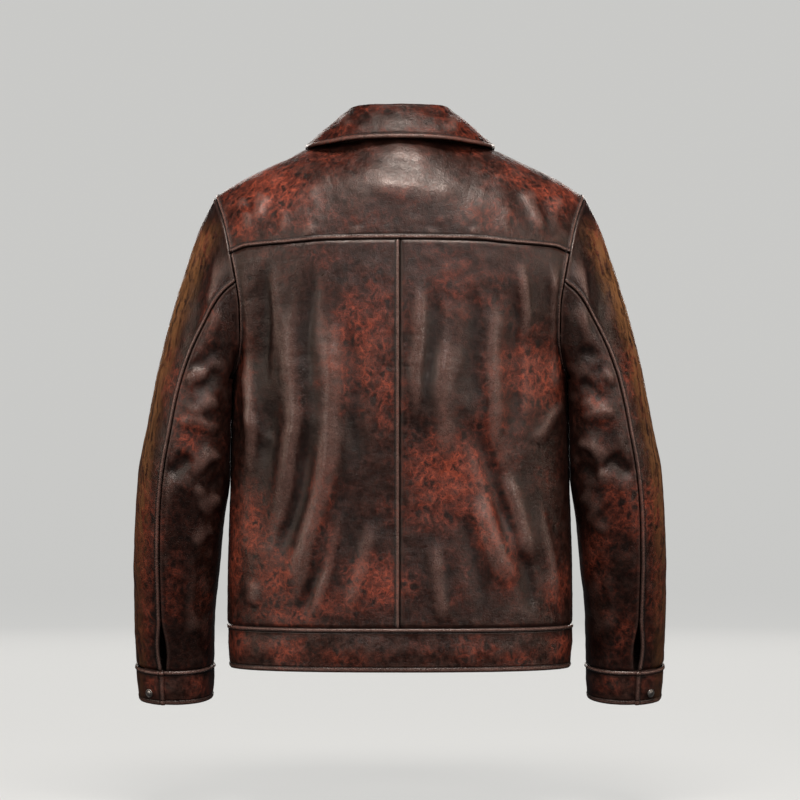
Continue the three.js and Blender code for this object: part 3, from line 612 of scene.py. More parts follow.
def patina_group():
    """Dark oiled leather, worn through to rust red with a bright lace of veins round darker cells, plus
    painted highlight on crests and rubbed edges and painted shade in fold troughs.
    """
    tree, given, out = group("worn patina", {
        "Patch": ("NodeSocketFloat", 0.0),
        "Wear_And_Sheen": ("NodeSocketFloat", 0.0),
        "Tan": ("NodeSocketFloat", 0.0),
        "Dirt_And_Shade": ("NodeSocketFloat", 0.0),
        "Dark": ("NodeSocketColor", (0.0038, 0.0021, 0.0015, 1)),
        "Brown": ("NodeSocketColor", (0.0175, 0.0077, 0.0054, 1)),
        "Rust": ("NodeSocketColor", (0.098, 0.0185, 0.0115, 1)),
        "Ember": ("NodeSocketColor", (0.4, 0.07, 0.032, 1)),
        "Tan Colour": ("NodeSocketColor", (0.27, 0.115, 0.04, 1)),
        # The colour of rubbed wear and of the painted highlight.
        "Wear_And_Sheen_Colour": ("NodeSocketColor", (0.17, 0.098, 0.08, 1)),
        "Cell Size": ("NodeSocketFloat", 9.5),
    }, {"Color": "NodeSocketColor", "Roughness": "NodeSocketFloat", "Height": "NodeSocketFloat"})
    sockets = given.outputs
    place = object_place(tree)
    bent = drifted(tree, place, 48, 3, 0.017, place)
    bent = drifted(tree, bent, 210, 3, 0.0052, place)
    upright = scaled(tree, bent, (1, 1, 0.7))
    per_metre = calc(tree, "DIVIDE", 1000.0, sockets["Cell Size"])
    edges = cell_edges(tree, upright, per_metre)
    small_edges = cell_edges(tree, bent, calc(tree, "MULTIPLY", per_metre, 2.0))
    which = node(tree, "ShaderNodeTexVoronoi", {"Vector": upright, "Scale": per_metre}).outputs["Color"]
    kind = node(tree, "ShaderNodeSeparateColor", {"Color": which}).outputs["Red"]

    # The lace: the cells' borders and three sizes of wandering lines, broken up by wisps.
    wisps = remap(tree, noise(tree, bent, 110, 5, 0.7), 0.36, 0.66)
    veins = remap(tree, edges, 0.0, 0.12, 0.85, 0.0)
    fine_veins = remap(tree, small_edges, 0.0, 0.14, 0.6, 0.0)
    lace = calc(tree, "MAXIMUM", veins, fine_veins)
    for scale, width, strength in ((90, 0.028, 0.6), (190, 0.04, 0.6), (380, 0.06, 0.5)):
        middle = calc(tree, "SUBTRACT", noise(tree, bent, scale, 4, 0.6), 0.5)
        wandering_line = remap(tree, calc(tree, "ABSOLUTE", middle), 0.0, width, strength, 0.0)
        lace = calc(tree, "MAXIMUM", lace, wandering_line)
    lace = calc(tree, "MULTIPLY", lace, calc(tree, "MULTIPLY_ADD", wisps, 0.8, 0.2))

    # The dark middles of the cells.
    cores = remap(tree, edges, 0.13, 0.34)
    cores = calc(tree, "MULTIPLY", cores, remap(tree, kind, 0.25, 0.6, 0.25, 1.0))
    small_cores = remap(tree, small_edges, 0.14, 0.38)
    small_cores = calc(tree, "MULTIPLY", small_cores, remap(tree, wisps, 0.2, 0.8, 0.7, 0.0))
    cores = calc(tree, "MAXIMUM", cores, small_cores)

    # How far the wax is worn away, from the patch mask and two sizes of noise.
    broad = calc(tree, "SUBTRACT", noise(tree, place, 15, 3), 0.5)
    medium = noise(tree, place, 60, 4, 0.6)
    spread = calc(tree, "MULTIPLY_ADD", broad, 0.9, sockets["Patch"])
    spread = calc(tree, "MULTIPLY_ADD", calc(tree, "SUBTRACT", medium, 0.5), 0.8, spread)
    worn = remap(tree, spread, -0.05, 0.9, 0.16, 1.0)

    mottled = remap(tree, noise(tree, place, 120, 6, 0.72), 0.36, 0.64)
    base = blend_colour(tree, mottled, sockets["Dark"], sockets["Brown"])
    soaked = calc(tree, "MULTIPLY", calc(tree, "POWER", worn, 1.4), 0.52)
    ground = blend_colour(tree, soaked, base, sockets["Rust"])
    glow = calc(tree, "MULTIPLY", calc(tree, "POWER", worn, 1.7), lace)
    ground = blend_colour(tree, glow, ground, sockets["Ember"])
    sunk = calc(tree, "MULTIPLY", cores, remap(tree, worn, 0.0, 0.5, 0.35, 0.88))
    ground = blend_colour(tree, sunk, ground, sockets["Dark"])

    # Tan streaks down the sleeves, painted highlight on crests and on rubbed edges, dirt in the seams
    # and painted shade in the troughs.
    streak = remap(tree, noise(tree, scaled(tree, bent, (1, 1, 0.14)), 150, 4, 0.6), 0.34, 0.6)
    tanned = calc(tree, "MULTIPLY", sockets["Tan"], streak)
    with_tan = blend_colour(tree, tanned, ground, sockets["Tan Colour"])
    wear_and_sheen_breakup = remap(tree, noise(tree, place, 520, 4, 0.7), 0.34, 0.68)
    wear_and_sheen_amount = calc(tree, "MULTIPLY", sockets["Wear_And_Sheen"], calc(tree, "MULTIPLY_ADD", wear_and_sheen_breakup, 0.55, 0.42))
    final = blend_colour(tree, wear_and_sheen_amount, with_tan, sockets["Wear_And_Sheen_Colour"])
    # Painted shade in the fold troughs, and dirt in the seams, in one near-black colour.
    final = blend_colour(tree, sockets["Dirt_And_Shade"], final, (0.0022, 0.0014, 0.0012, 1))
    tree.links.new(final, out.inputs["Color"])

    pores = noise(tree, place, 620, 3, 0.7)
    rough = calc(tree, "MULTIPLY_ADD", mottled, 0.1, calc(tree, "MULTIPLY_ADD", pores, 0.28, 0.16))
    rough = calc(tree, "MULTIPLY_ADD", worn, 0.1, rough)
    rough = calc(tree, "MULTIPLY_ADD", sockets["Wear_And_Sheen"], -0.17, rough)
    rough = calc(tree, "MULTIPLY_ADD", sockets["Dirt_And_Shade"], 0.08, rough)
    tree.links.new(rough, out.inputs["Roughness"])
    height = calc(tree, "MULTIPLY", remap(tree, small_edges, 0.0, 0.25), 0.00007)
    height = calc(tree, "MULTIPLY_ADD", medium, 0.0006, height)
    tree.links.new(height, out.inputs["Height"])
    return tree


grain = grain_group()
patina = patina_group()


def bare_material(name):
    """A material whose node tree is empty."""
    material = bpy.data.materials.new(name)
    material.use_nodes = True
    material.node_tree.nodes.clear()
    return material


def shade(tree, height, distance, strength, sockets):
    """The material's Principled shader, bumped by a height, and its output."""
    bump = node(tree, "ShaderNodeBump", {"Height": height, "Distance": distance, "Strength": strength})
    shader = node(tree, "ShaderNodeBsdfPrincipled", {"Normal": bump.outputs["Normal"], **sockets})
    node(tree, "ShaderNodeOutputMaterial", {"Surface": shader.outputs["BSDF"]})


def leather(name, gloss=0.5, **colours):
    """A worn leather finish, with its own colours where they differ from the body's."""
    material = bare_material(name)
    tree = material.node_tree
    colour = node(tree, "ShaderNodeGroup", node_tree=patina)
    # Attribute masks: patches, wear with painted highlight, tan, and seam dirt with painted shade.
    for label in ("Patch", "Wear_And_Sheen", "Tan", "Dirt_And_Shade"):
        mask = node(tree, "ShaderNodeAttribute", attribute_name=label.lower()).outputs["Fac"]
        tree.links.new(mask, colour.inputs[label])
    for label, value in colours.items():
        colour.inputs[label].default_value = (*value, 1)
    surface = node(tree, "ShaderNodeGroup", node_tree=grain)
    height = calc(tree, "ADD", surface.outputs["Height"], colour.outputs["Height"])
    shade(tree, height, 1.0, 0.9, {
        "Base Color": colour.outputs["Color"], "Roughness": colour.outputs["Roughness"],
        "Specular IOR Level": gloss, "Specular Tint": (1.0, 0.86, 0.78, 1),
    })
    return material


def flesh_side():
    """The hide's napped inner face: dull brown, with short fibres."""
    material = bare_material("suede flesh side")
    tree = material.node_tree
    place = object_place(tree)
    nap = noise(tree, place, 900, 4, 0.7)
    cloud = remap(tree, noise(tree, place, 40, 3), 0.3, 0.7)
    tone = blend_colour(tree, cloud, (0.035, 0.021, 0.015, 1), (0.06, 0.036, 0.026, 1))
    tone = blend_colour(tree, remap(tree, nap, 0.35, 0.7, 0.0, 0.4), tone, (0.1, 0.062, 0.045, 1))
    shade(tree, nap, 0.0003, 0.6, {"Base Color": tone, "Roughness": 0.92, "Specular IOR Level": 0.2})
    return material


def thread():
    """Waxed dark thread, slightly uneven along its length."""
    material = bare_material("waxed thread")
    tree = material.node_tree
    uneven = remap(tree, noise(tree, object_place(tree), 700, 3), 0.3, 0.7)
    tone = blend_colour(tree, uneven, (0.008, 0.005, 0.004, 1), (0.03, 0.016, 0.012, 1))
    shade(tree, uneven, 0.0002, 0.5, {"Base Color": tone, "Roughness": 0.6})
    return material


body_leather = leather("worn body leather")
flesh = flesh_side()
dark_thread = thread()

BACK_FOLDS = [
    ([(-198, -140), (-195, -280), (-192, -430)], 8, 6.5),
    ([(-135, -204), (-134, -359), (-153, -464), (-161, -500)], 5, 14),
    ([(-84, -202), (-90, -378), (-109, -479), (-138, -594)], 7, 14),
    ([(-117, -355), (-144, -543)], -5, 12),
    ([(-169, -300), (-178, -540)], -4, 14),
    ([(59, -240), (59, -349), (66, -430)], 4, 14),
    ([(96, -449), (119, -532), (134, -575)], 5, 12),
    ([(133, -417), (167, -540)], 4, 12),
    ([(198, -140), (197, -230), (196, -330)], 8, 6.5),
    ([(97, -349), (132, -481), (149, -522)], -5, 11),
]
BACK_CREASES = [
    ([(-108, -150), (-110, -240), (-112, -330)], -2.2, 8, 0.3),
    ([(-60, -215), (-56, -330), (-62, -430)], -2.0, 9, -0.3),
    ([(-165, -150), (-166, -260), (-172, -330)], -2.6, 8, 0.3),
    ([(-72, -460), (-88, -540), (-104, -600)], 2.4, 7, 0.3),
    ([(-92, -520), (-110, -570), (-122, -606)], -2.2, 6, 0.2),
    ([(-40, -480), (-52, -560), (-66, -612)], 2.0, 8, -0.2),
    ([(-180, -560), (-186, -600)], 2.0, 7, 0.2),
    ([(25, -170), (26, -300), (28, -368)], 2.4, 8, 0.3),
    ([(42, -180), (42, -330)], -2.2, 8, 0.2),
    ([(88, -170), (92, -260), (96, -350)], -2.4, 8, 0.3),
    ([(112, -190), (116, -300), (124, -400)], 2.6, 8, -0.3),
    ([(140, -180), (144, -280), (152, -380)], -2.4, 8, 0.3),
    ([(152, -150), (153, -200), (158, -260)], 2.6, 7, 0.2),
    ([(78, -470), (92, -540), (104, -606)], -2.2, 7, 0.2),
    ([(40, -500), (50, -570), (58, -612)], 2.0, 8, 0.2),
    ([(150, -520), (160, -570), (168, -610)], -2.2, 7, 0.2),
    ([(180, -440), (190, -540), (196, -600)], 2.4, 8, 0.3),
    ([(-206, -330), (-178, -372), (-160, -380)], 1.6, 6, 0.3),
    ([(206, -330), (182, -368), (166, -378)], 1.6, 6, -0.3),
]
BACK_PATCHES = [
    (90, -420, 26, 44, 0.95), (112, -480, 22, 50, 0.95), (136, -535, 18, 44, 0.8),
    (-30, -210, 34, 60, 0.4), (140, -210, 34, 60, 0.3), (186, -300, 26, 40, 0.85),
    (-100, -470, 20, 90, 0.45), (-160, -560, 30, 34, 0.8), (-48, -261, 42, 78, 0.68),
    (63, -424, 56, 50, 1.0), (157, -295, 44, 52, 0.8), (59, -181, 44, 50, 0.32),
    (-189, -487, 25, 46, 0.85), (-147, -544, 20, 38, 0.8), (-31, -557, 38, 32, 0.95),
    (199, -569, 18, 31, 0.7), (-195, -298, 16, 60, 0.5), (-140, -600, 50, 16, 0.65),
    (170, -300, 24, 40, 0.6), (-212, -520, 14, 90, 0.7), (-20, -330, 30, 60, 0.5),
    (110, -380, 30, 40, 0.5), (30, -470, 60, 26, 0.6), (-80, -585, 50, 22, 0.6),
]


def panel_relief(folds, creases, x, z):
    """Folds and creases of a body panel, which die out towards its side, hem and yoke seams."""
    from_side = np.where(z > ARMPIT_Z, armhole_x(z), half_width(z)) - np.abs(x)
    low = fade(from_side, 0, 30) * fade(z, HEM_SEAM_Z, HEM_SEAM_Z + 60) * fade(-z, 130, 200)
    return fold_height(folds, x, z) * low, crease_height(creases, x, z) * fade(from_side, 0, 12)


def back_relief(plain):
    x, z = plain[..., 0], plain[..., 2]
    broad, fine = panel_relief(BACK_FOLDS, BACK_CREASES, x, z)
    return broad + fine * fade(-z, 130, 160)


yoke_end_x, yoke_end_z, _ = edge_station(np.float64(YOKE_SEAM_ANGLE), 1)
yoke_seam_half = smooth([
    (-90, -129), (0, -128), (90, -129), (142, -133), (195, -137), (yoke_end_x, yoke_end_z),
])


def seam_turn(x):
    return turn_at(x, yoke_seam_half(np.abs(x)))


def hem_turn(x):
    return turn_at(x, HEM_SEAM_Z)


def from_axis(points):
    """Directions away from the upright line through the jacket."""
    return points * [1, 1, 0]


HEM_ANGLE = 180 + (ARMPIT_Z - HEM_SEAM_Z) / SIDE_STEP
BACK_STEP = 3.3                 # between the points of a panel's grid, away from its seams
PANEL_WIDTH = 235               # roughly, to space its points by
half_columns = spaced(PANEL_WIDTH, BACK_STEP)
back_angles = even_angles(YOKE_SEAM_ANGLE, HEM_ANGLE, 1, BACK_STEP)
back_edges = {
    "left": {"top": "under", "bottom": "under", "left": "stitched", "right": "stitched"},
    "right": {"top": "under", "bottom": "under", "left": "under", "right": "stitched"},
}
SIDE_LENGTH = 330               # of the side seam, which has no topstitching
back_lines = []
for side_name, columns in (("left", half_columns[::-1] * -1), ("right", half_columns)):
    plain = body_grid(columns, back_angles, 1, seam_turn, hem_turn)
    piece, outer, normal = make_cloth(
        f"back_{side_name}", plain, from_axis(plain), back_edges[side_name], back_relief(plain),
        LEATHER, BACK_PATCHES, [body_leather, flesh],
        seed=11 if side_name == "left" else 12)
    outer_edge = "left" if side_name == "left" else "right"
    back_lines.append(seam_line(outer, normal, outer_edge, STITCH_INSET, (0, SIDE_LENGTH)))
    if side_name == "left":
        back_lines.append(seam_line(outer, normal, "right", STITCH_INSET))
back_stitches = sew("back_stitches", back_lines, dark_thread)

# ---- Yoke ----------------------------------------------------------------------------------
# One piece of the same hide over both shoulder blades, from the neck and the shoulder seams down
# to a lapped seam, where its turned edge lies over the back panels and is topstitched.

SHOULDER_SEAM_ANGLE = -9
BACK_NECK_TURN = 37
FRONT_NECK_TURN = -83
_, _, shoulder_seam_turn = edge_station(np.float64(SHOULDER_SEAM_ANGLE), 1)


def neck_turn(x, front):
    share = np.sqrt(np.maximum(0, 1 - (x / NECK_HALF) ** 2))
    return share * (FRONT_NECK_TURN if front else BACK_NECK_TURN)


def top_turn(front):
    """Where the top edge of the yoke or of a front lies: on the neck, and beside it on the shoulder."""
    def turn(x):
        return np.where(np.abs(x) < NECK_HALF - 0.01, neck_turn(x, front), shoulder_seam_turn)

    return turn


YOKE_CREASES = [
    ([(186, -122), (172, -90), (152, -60)], 2.2, 9, 0.3),
    ([(200, -124), (188, -96), (172, -70)], -1.6, 8, 0.2),
    ([(-186, -112), (-180, -88), (-170, -66)], 2.6, 7, -0.3),
    ([(-200, -100), (-194, -82)], -2.2, 6, 0.2),
    ([(-205, -72), (-196, -98), (-192, -122)], 2.4, 6, 0.3),
    ([(-150, -124), (-152, -100), (-158, -82)], 1.6, 6, 0.2),
    ([(-118, -124), (-116, -104)], 1.2, 6, 0.2),
    ([(132, -126), (136, -104), (142, -88)], 1.6, 6, -0.2),
    ([(208, -58), (202, -90), (198, -122)], 1.6, 7, 0.3),
    ([(-80, -20), (0, -34), (80, -20)], -1.6, 9, 0.2),
    ([(-110, -50), (-40, -66), (40, -66), (110, -50)], 1.4, 12, 0.1),
    ([(90, -126), (92, -108)], 1.1, 6, 0.2),
    ([(-60, -126), (-58, -110)], 1.0, 6, 0.2),
    ([(36, -126), (36, -112)], 1.0, 6, 0.2),
]
YOKE_PATCHES = [
    (-164, -65, 70, 44, 0.8), (201, -65, 34, 28, 0.75), (-110, -30, 50, 30, 0.5),
    (150, -40, 50, 26, 0.4), (-60, -100, 60, 26, 0.3), (120, -100, 60, 26, 0.3),
    (-205, -110, 24, 30, 0.6), (90, -10, 30, 16, 0.45), (0, -40, 90, 60, 0.2),
]
yoke_columns = spaced(2 * PANEL_WIDTH, BACK_STEP) * 2 - 1
yoke_angles = even_angles(SHOULDER_SEAM_ANGLE, YOKE_SEAM_ANGLE, 1, 2.6)
yoke_plain = body_grid(yoke_columns, yoke_angles, 1, top_turn(False), seam_turn)
up_and_out = from_axis(yoke_plain) * 0.01 + [0, 0, 1]
yoke_relief = crease_height(YOKE_CREASES, yoke_plain[..., 0], yoke_plain[..., 2])
yoke_relief = yoke_relief * (yoke_plain[..., 1] < 20) + 0.5 * rolling(yoke_plain, 60, 5)
yoke, yoke_outer, yoke_normal = make_cloth(
    "yoke", yoke_plain, up_and_out,
    {"top": "stitched", "bottom": "stitched", "left": "stitched", "right": "stitched"},
    yoke_relief, LEATHER, YOKE_PATCHES, [body_leather, flesh], seed=21, pucker=1.3)
yoke_stitches = sew("yoke_stitches", [
    seam_line(yoke_outer, yoke_normal, "bottom", STITCH_INSET),
    seam_line(yoke_outer, yoke_normal, "left", STITCH_INSET),
    seam_line(yoke_outer, yoke_normal, "right", STITCH_INSET),
], dark_thread)

# ---- Fronts --------------------------------------------------------------------------------
# Two panels of the same hide from the shoulder seams to the waistband, meeting at the centre
# under the placket. They fold softly, as the back does.

FRONT_FOLDS = [
    ([(-165, -240), (-150, -420), (-160, -540)], 5, 15),
    ([(-95, -260), (-88, -420), (-110, -570)], 6, 15),
    ([(-122, -330), (-128, -540)], -5, 13),
    ([(92, -250), (84, -400), (104, -580)], 6, 15),
    ([(160, -230), (150, -430), (158, -560)], 5, 15),
    ([(120, -320), (124, -540)], -5, 13),
]
FRONT_CREASES = [
    ([(-186, -170), (-176, -250), (-178, -330)], 2.4, 8, 0.3),
    ([(-130, -170), (-118, -260)], -2.2, 8, 0.2),
    ([(-60, -300), (-56, -420), (-66, -520)], -2.0, 8, 0.3),
    ([(-190, -420), (-186, -520), (-192, -600)], 2.2, 8, 0.2),
    ([(-206, -330), (-176, -366), (-150, -376)], 1.8, 6, 0.3),
    ([(186, -170), (176, -250), (180, -340)], 2.4, 8, -0.3),
    ([(130, -180), (120, -270)], -2.2, 8, 0.2),
    ([(60, -320), (54, -430), (62, -540)], -2.0, 8, 0.3),
    ([(192, -430), (188, -520), (194, -600)], 2.2, 8, 0.2),
    ([(206, -330), (178, -364), (154, -374)], 1.8, 6, -0.3),
    ([(-160, -100), (-140, -130), (-110, -150)], 1.6, 8, 0.2),
    ([(160, -100), (140, -130), (110, -150)], 1.6, 8, -0.2),
]
FRONT_PATCHES = [
    (-150, -90, 60, 44, 0.85), (-90, -330, 44, 70, 0.85), (-180, -500, 30, 60, 0.8),
    (-70, -540, 44, 34, 0.9), (150, -80, 56, 40, 0.85), (110, -260, 46, 56, 0.8),
    (80, -460, 50, 48, 0.95), (190, -420, 24, 60, 0.7), (160, -580, 40, 26, 0.7),
    (-190, -280, 18, 60, 0.5),
]


def front_relief(plain):
    x, z = plain[..., 0], plain[..., 2]
    broad, fine = panel_relief(FRONT_FOLDS, FRONT_CREASES, x, z)
    return broad * fade(np.abs(x), 25, 60) + fine


def front_hem_turn(x):
    return -hem_turn(x)


FRONT_STEP = 4.2
front_columns = spaced(PANEL_WIDTH, FRONT_STEP)
front_angles = even_angles(-SHOULDER_SEAM_ANGLE, HEM_ANGLE, -1, FRONT_STEP)
front_lines = []
for side_name, columns in (("left", front_columns[::-1] * -1), ("right", front_columns)):
    plain = body_grid(columns, front_angles, -1, top_turn(True), front_hem_turn)
    outer_edge, centre = ("left", "right") if side_name == "left" else ("right", "left")
    piece, outer, normal = make_cloth(
        f"front_{side_name}", plain, from_axis(plain),
        {"top": "under", "bottom": "under", outer_edge: "stitched", centre: "seamed"},
        front_relief(plain), LEATHER, FRONT_PATCHES, [body_leather, flesh],
        seed=31 if side_name == "left" else 32)
    front_lines.append(seam_line(outer, normal, outer_edge, STITCH_INSET, (0, SIDE_LENGTH)))
front_stitches = sew("front_stitches", front_lines, dark_thread)

# ---- Placket -------------------------------------------------------------------------------
# A two-layer strip of leather sewn over the fronts' meeting edges from the neck to the hem,
# topstitched along both sides. The front snaps are set through it.

BAND = 2.4                      # two skived layers
PLACKET_WIDTH = 38              # over the chest
PLACKET_COLUMN = 0.08           # where its edge is, as a share of the front's width
band_leather = leather("worn band leather", Brown=(0.03, 0.0135, 0.0095))
HEM_BOTTOM_ANGLE = 180 + (ARMPIT_Z - HEM_Z) / SIDE_STEP


def front_bottom_turn(x):
    return -turn_at(x, HEM_Z)


placket_columns = (spaced(PLACKET_WIDTH, 2.0) * 2 - 1) * PLACKET_COLUMN
placket_angles = even_angles(-SHOULDER_SEAM_ANGLE, HEM_BOTTOM_ANGLE, -1, 3.6)
placket_plain = body_grid(placket_columns, placket_angles, -1, top_turn(True), front_bottom_turn)
placket_lift = grid_normals(placket_plain, from_axis(placket_plain)) * (SEAM_GAP + BAND)
placket_plain = placket_plain + placket_lift
placket, placket_outer, placket_normal = make_cloth(
    "front_placket", placket_plain, from_axis(placket_plain),
    {"top": "open", "bottom": "turned", "left": "turned", "right": "turned"},
    0.3 * rolling(placket_plain, 50, 7), BAND, [(0, -250, 16, 70, 0.7), (0, -520, 16, 60, 0.8)],
    [band_leather, flesh], seed=41, gapped=False)
placket_stitches = sew("placket_stitches", [
    seam_line(placket_outer, placket_normal, "left", STITCH_INSET, (4, 4)),
    seam_line(placket_outer, placket_normal, "right", STITCH_INSET, (4, 4)),
], dark_thread)

# ---- Waistband -----------------------------------------------------------------------------
# A straight double band round the hem in one back and two front pieces, topstitched along its
# top and bottom edges, so that the middle stands out a little between the two rows.

HEM_PATCHES = [
    (-148, -645, 24, 18, 0.9), (-207, -640, 14, 22, 0.8), (94, -645, 26, 18, 0.75),
    (207, -645, 16, 20, 0.8), (-60, -655, 40, 12, 0.4), (30, -640, 30, 14, 0.4),
    (150, -655, 24, 12, 0.5),
]
BAND_TUCK = 0.9                 # how far its top goes up under the panels
BAND_PARTS = (
    ("waistband_back", yoke_columns, 1, "back_left_leather"),
    ("waistband_front_left", half_columns[::-1] * -1, -1, "front_left_leather"),
    ("waistband_front_right", half_columns, -1, "front_right_leather"),
)
band_lines = []
for number, (node_name, columns, side, _) in enumerate(BAND_PARTS):
    band_top = HEM_SEAM_Z + BAND_TUCK
    band_z = band_top + (HEM_Z - band_top) * spaced(HEM_SEAM_Z - HEM_Z, 1.6)[:, None]
    x = column_x(half_width(band_z), band_z, columns[None, :])
    plain = body_form(x, side * turn_at(x, band_z))
    crown = 0.8 * np.sin(np.pi * fade(edge_distances(plain)["top"], 6, 49))
    piece, outer, normal = make_cloth(
        node_name, plain, from_axis(plain),
        {"top": "stitched", "bottom": "turned", "left": "seamed", "right": "seamed"},
        crown + 0.7 * rolling(plain, 70, 60 + number), BAND, HEM_PATCHES, [band_leather, flesh],
        seed=61 + number, gapped=False, pucker=1.4)
    band_lines += [seam_line(outer, normal, edge, STITCH_INSET) for edge in ("top", "bottom")]
band_stitches = sew("waistband_stitches", band_lines, dark_thread)

# ---- Sleeves -------------------------------------------------------------------------------
# Each sleeve is cut in two: a wide outer half and an under half. The back seam is topstitched on
# the outer half and left open above the cuff as a slit. They keep the bend of the arm.

# ring: outer x, outer z, inner x, inner z, half depth, middle y, tilt in degrees
RINGS = [
    (238, -69, 216, -304, 82, 0, 0),
    (258, -110, 216.5, -308, 82, 1, 0),
    (277, -165, 215, -316, 81, 1, 0),
    (297, -230, 213, -328, 79, 0, 0),
    (313, -297, 212, -348, 77, -1, 0),
    (325, -360, 213, -382, 75, -1, 0),
    (337, -420, 218, -430, 71, 1, 2),
    (342, -480, 227, -484, 66, 10, 5),
    (345, -545, 233, -545, 60, 21, 8),
    (345, -610, 240, -608, 52, 33, 10),
    (343, -673, 242, -673, 45, 45, 10),
    (340, -717, 244, -717, 43, 53, 10),
]
CUFF_RING = 10
HAND_RING = 11
CAP_RINGS = 5                   # rings over which the armhole's loop becomes an oval
SLIT_RING = 8.9
SLIT_HALF = 4
SLIT_RADIUS = 50                # of the arm, where the slit is
SLEEVE_CLEAR = 3                # between the sleeve and the body
SLEEVE_BACK_ANGLE = 87
SLEEVE_FRONT_ANGLE = -130
ring_value = [smooth(list(enumerate(column))) for column in zip(*RINGS)]
back_seam_angle = smooth([(0, 87), (2, 76), (4, 68), (6, 66), (8, 70), (10, 76), (11, 76)])


def oval_ring(ring, angle):
    outer_x, outer_z, inner_x, inner_z, depth, middle_y, tilt = (value(ring) for value in ring_value)
    across = np.cos(np.radians(angle)) / 2
    back = np.sin(np.radians(angle)) * depth
    return np.stack([
        (outer_x + inner_x) / 2 + (outer_x - inner_x) * across,
        middle_y - back * np.cos(np.radians(tilt)),
        (outer_z + inner_z) / 2 + (outer_z - inner_z) * across - back * np.sin(np.radians(tilt)),
    ], -1)


def sleeve_form(ring, angle):
    """The right sleeve's plain form. Ring counts down the arm, and angle runs round the armhole."""
    ring, angle = np.broadcast_arrays(np.asarray(ring, float), np.asarray(angle, float))
    wrapped = np.where(angle > 180, angle - 360, angle)
    x, _, turn = edge_station(wrapped, 1)
    cap = (1 - fade(ring, 0, CAP_RINGS))[..., None]
    points = oval_ring(ring, angle) + cap * (body_form(x, turn) - oval_ring(np.zeros_like(ring), angle))
    y, z = points[..., 1], points[..., 2]
    depth = np.where(y < 0, back_depth(z), front_depth(z))
    side = np.where(z > ARMPIT_Z, armhole_x(z), half_width(z) * oval(np.minimum(1, np.abs(y) / depth)))
    points[..., 0] = np.maximum(points[..., 0], side + SLEEVE_CLEAR * fade(ring, 0, 0.6))
    return points


SLEEVE_FOLDS = [
    ([(222, -262), (262, -300)], -4, 9),
    ([(228, -330), (268, -352)], 4, 10),
    ([(232, -448), (262, -480)], 4, 10),
    ([(262, -404), (300, -432)], -4, 10),
    ([(250, -540), (262, -640)], 3, 11),
]
# Creases of each arm, in the same x as the right one: behind, then ahead.
SLEEVE_BACK_CREASES = {
    "left": [
        ([(232, -128), (240, -200), (232, -262)], 3.4, 7, 0.3),
        ([(250, -120), (262, -190), (258, -260)], -2.6, 8, 0.2),
        ([(236, -300), (254, -292), (276, -306)], 3.4, 7, 0.4),
        ([(224, -290), (240, -312), (262, -322)], -3.6, 8, 0.2),
        ([(226, -372), (252, -362), (282, -350)], 2.6, 7, 0.3),
        ([(224, -400), (246, -410), (268, -432)], 3.4, 7, -0.4),
        ([(222, -424), (240, -440), (258, -462)], -3.4, 7, 0.2),
        ([(232, -466), (250, -452), (272, -448)], 2.8, 6, 0.3),
        ([(234, -492), (250, -500), (268, -520)], 2.6, 7, -0.3),
        ([(246, -520), (256, -560), (258, -620)], -2.2, 8, 0.2),
        ([(300, -420), (312, -500), (314, -580)], 1.8, 9, 0.2),
        ([(236, -560), (244, -600), (248, -650)], 2.2, 7, 0.3),
    ],
    "right": [
        ([(228, -132), (236, -206), (230, -266)], 3.4, 7, 0.3),
        ([(248, -126), (258, -196), (252, -254)], -2.6, 8, 0.2),
        ([(232, -282), (250, -288), (272, -312)], 3.4, 7, -0.4),
        ([(222, -304), (238, -318), (258, -340)], -3.6, 8, 0.2),
        ([(224, -358), (248, -352), (276, -342)], 2.4, 7, 0.3),
        ([(222, -384), (244, -396), (262, -416)], 3.4, 7, -0.4),
        ([(224, -410), (242, -424), (262, -444)], -3.2, 7, 0.2),
        ([(234, -440), (250, -436), (270, -424)], 2.6, 6, 0.3),
        ([(232, -480), (250, -486), (270, -506)], 2.6, 7, -0.3),
        ([(248, -520), (258, -570), (262, -626)], -2.2, 8, 0.2),
        ([(302, -430), (314, -510), (316, -590)], 1.8, 9, 0.2),
        ([(238, -550), (246, -600), (250, -650)], 2.2, 7, 0.3),
    ],
}
SLEEVE_FRONT_CREASES = [
    ([(236, -130), (246, -210), (238, -268)], 3.0, 7, 0.3),
    ([(224, -300), (244, -308), (266, -328)], 3.0, 7, -0.3),
    ([(222, -322), (240, -334), (258, -352)], -3.0, 7, 0.2),
    ([(240, -402), (276, -410), (310, -432)], 3.6, 7, 0.3),
    ([(236, -424), (270, -436), (304, -456)], -3.6, 7, 0.2),
    ([(240, -450), (272, -466), (306, -482)], 3.0, 7, 0.3),
    ([(258, -540), (266, -600), (268, -650)], 2.2, 8, 0.2),
]
SLEEVE_PATCHES = {
    "left": [
        (-327, -500, 24, 80, 0.85), (-270, -368, 26, 46, 0.6), (-258, -128, 20, 34, 0.5),
        (-300, -300, 24, 70, 0.5), (-250, -600, 22, 60, 0.3), (-290, -560, 20, 60, 0.38),
        (-330, -620, 16, 60, 0.55), (-243, -210, 14, 50, 0.4),
    ],
    "right": [
        (321, -469, 30, 56, 0.75), (277, -456, 30, 44, 0.6), (252, -531, 24, 40, 0.5),
        (258, -128, 20, 34, 0.6), (300, -300, 22, 60, 0.55), (330, -560, 22, 80, 0.6),
        (285, -640, 26, 34, 0.4), (250, -330, 20, 44, 0.4),
    ],
}


ring_samples = np.linspace(0, CUFF_RING, 400)
sleeve_rings = evenly(ring_samples, sleeve_form(ring_samples, 60.0), BACK_STEP)


def sleeve_columns(first, last):
    samples = np.linspace(first, last, 300)
    return evenly(samples, sleeve_form(4.0, samples), BACK_STEP)


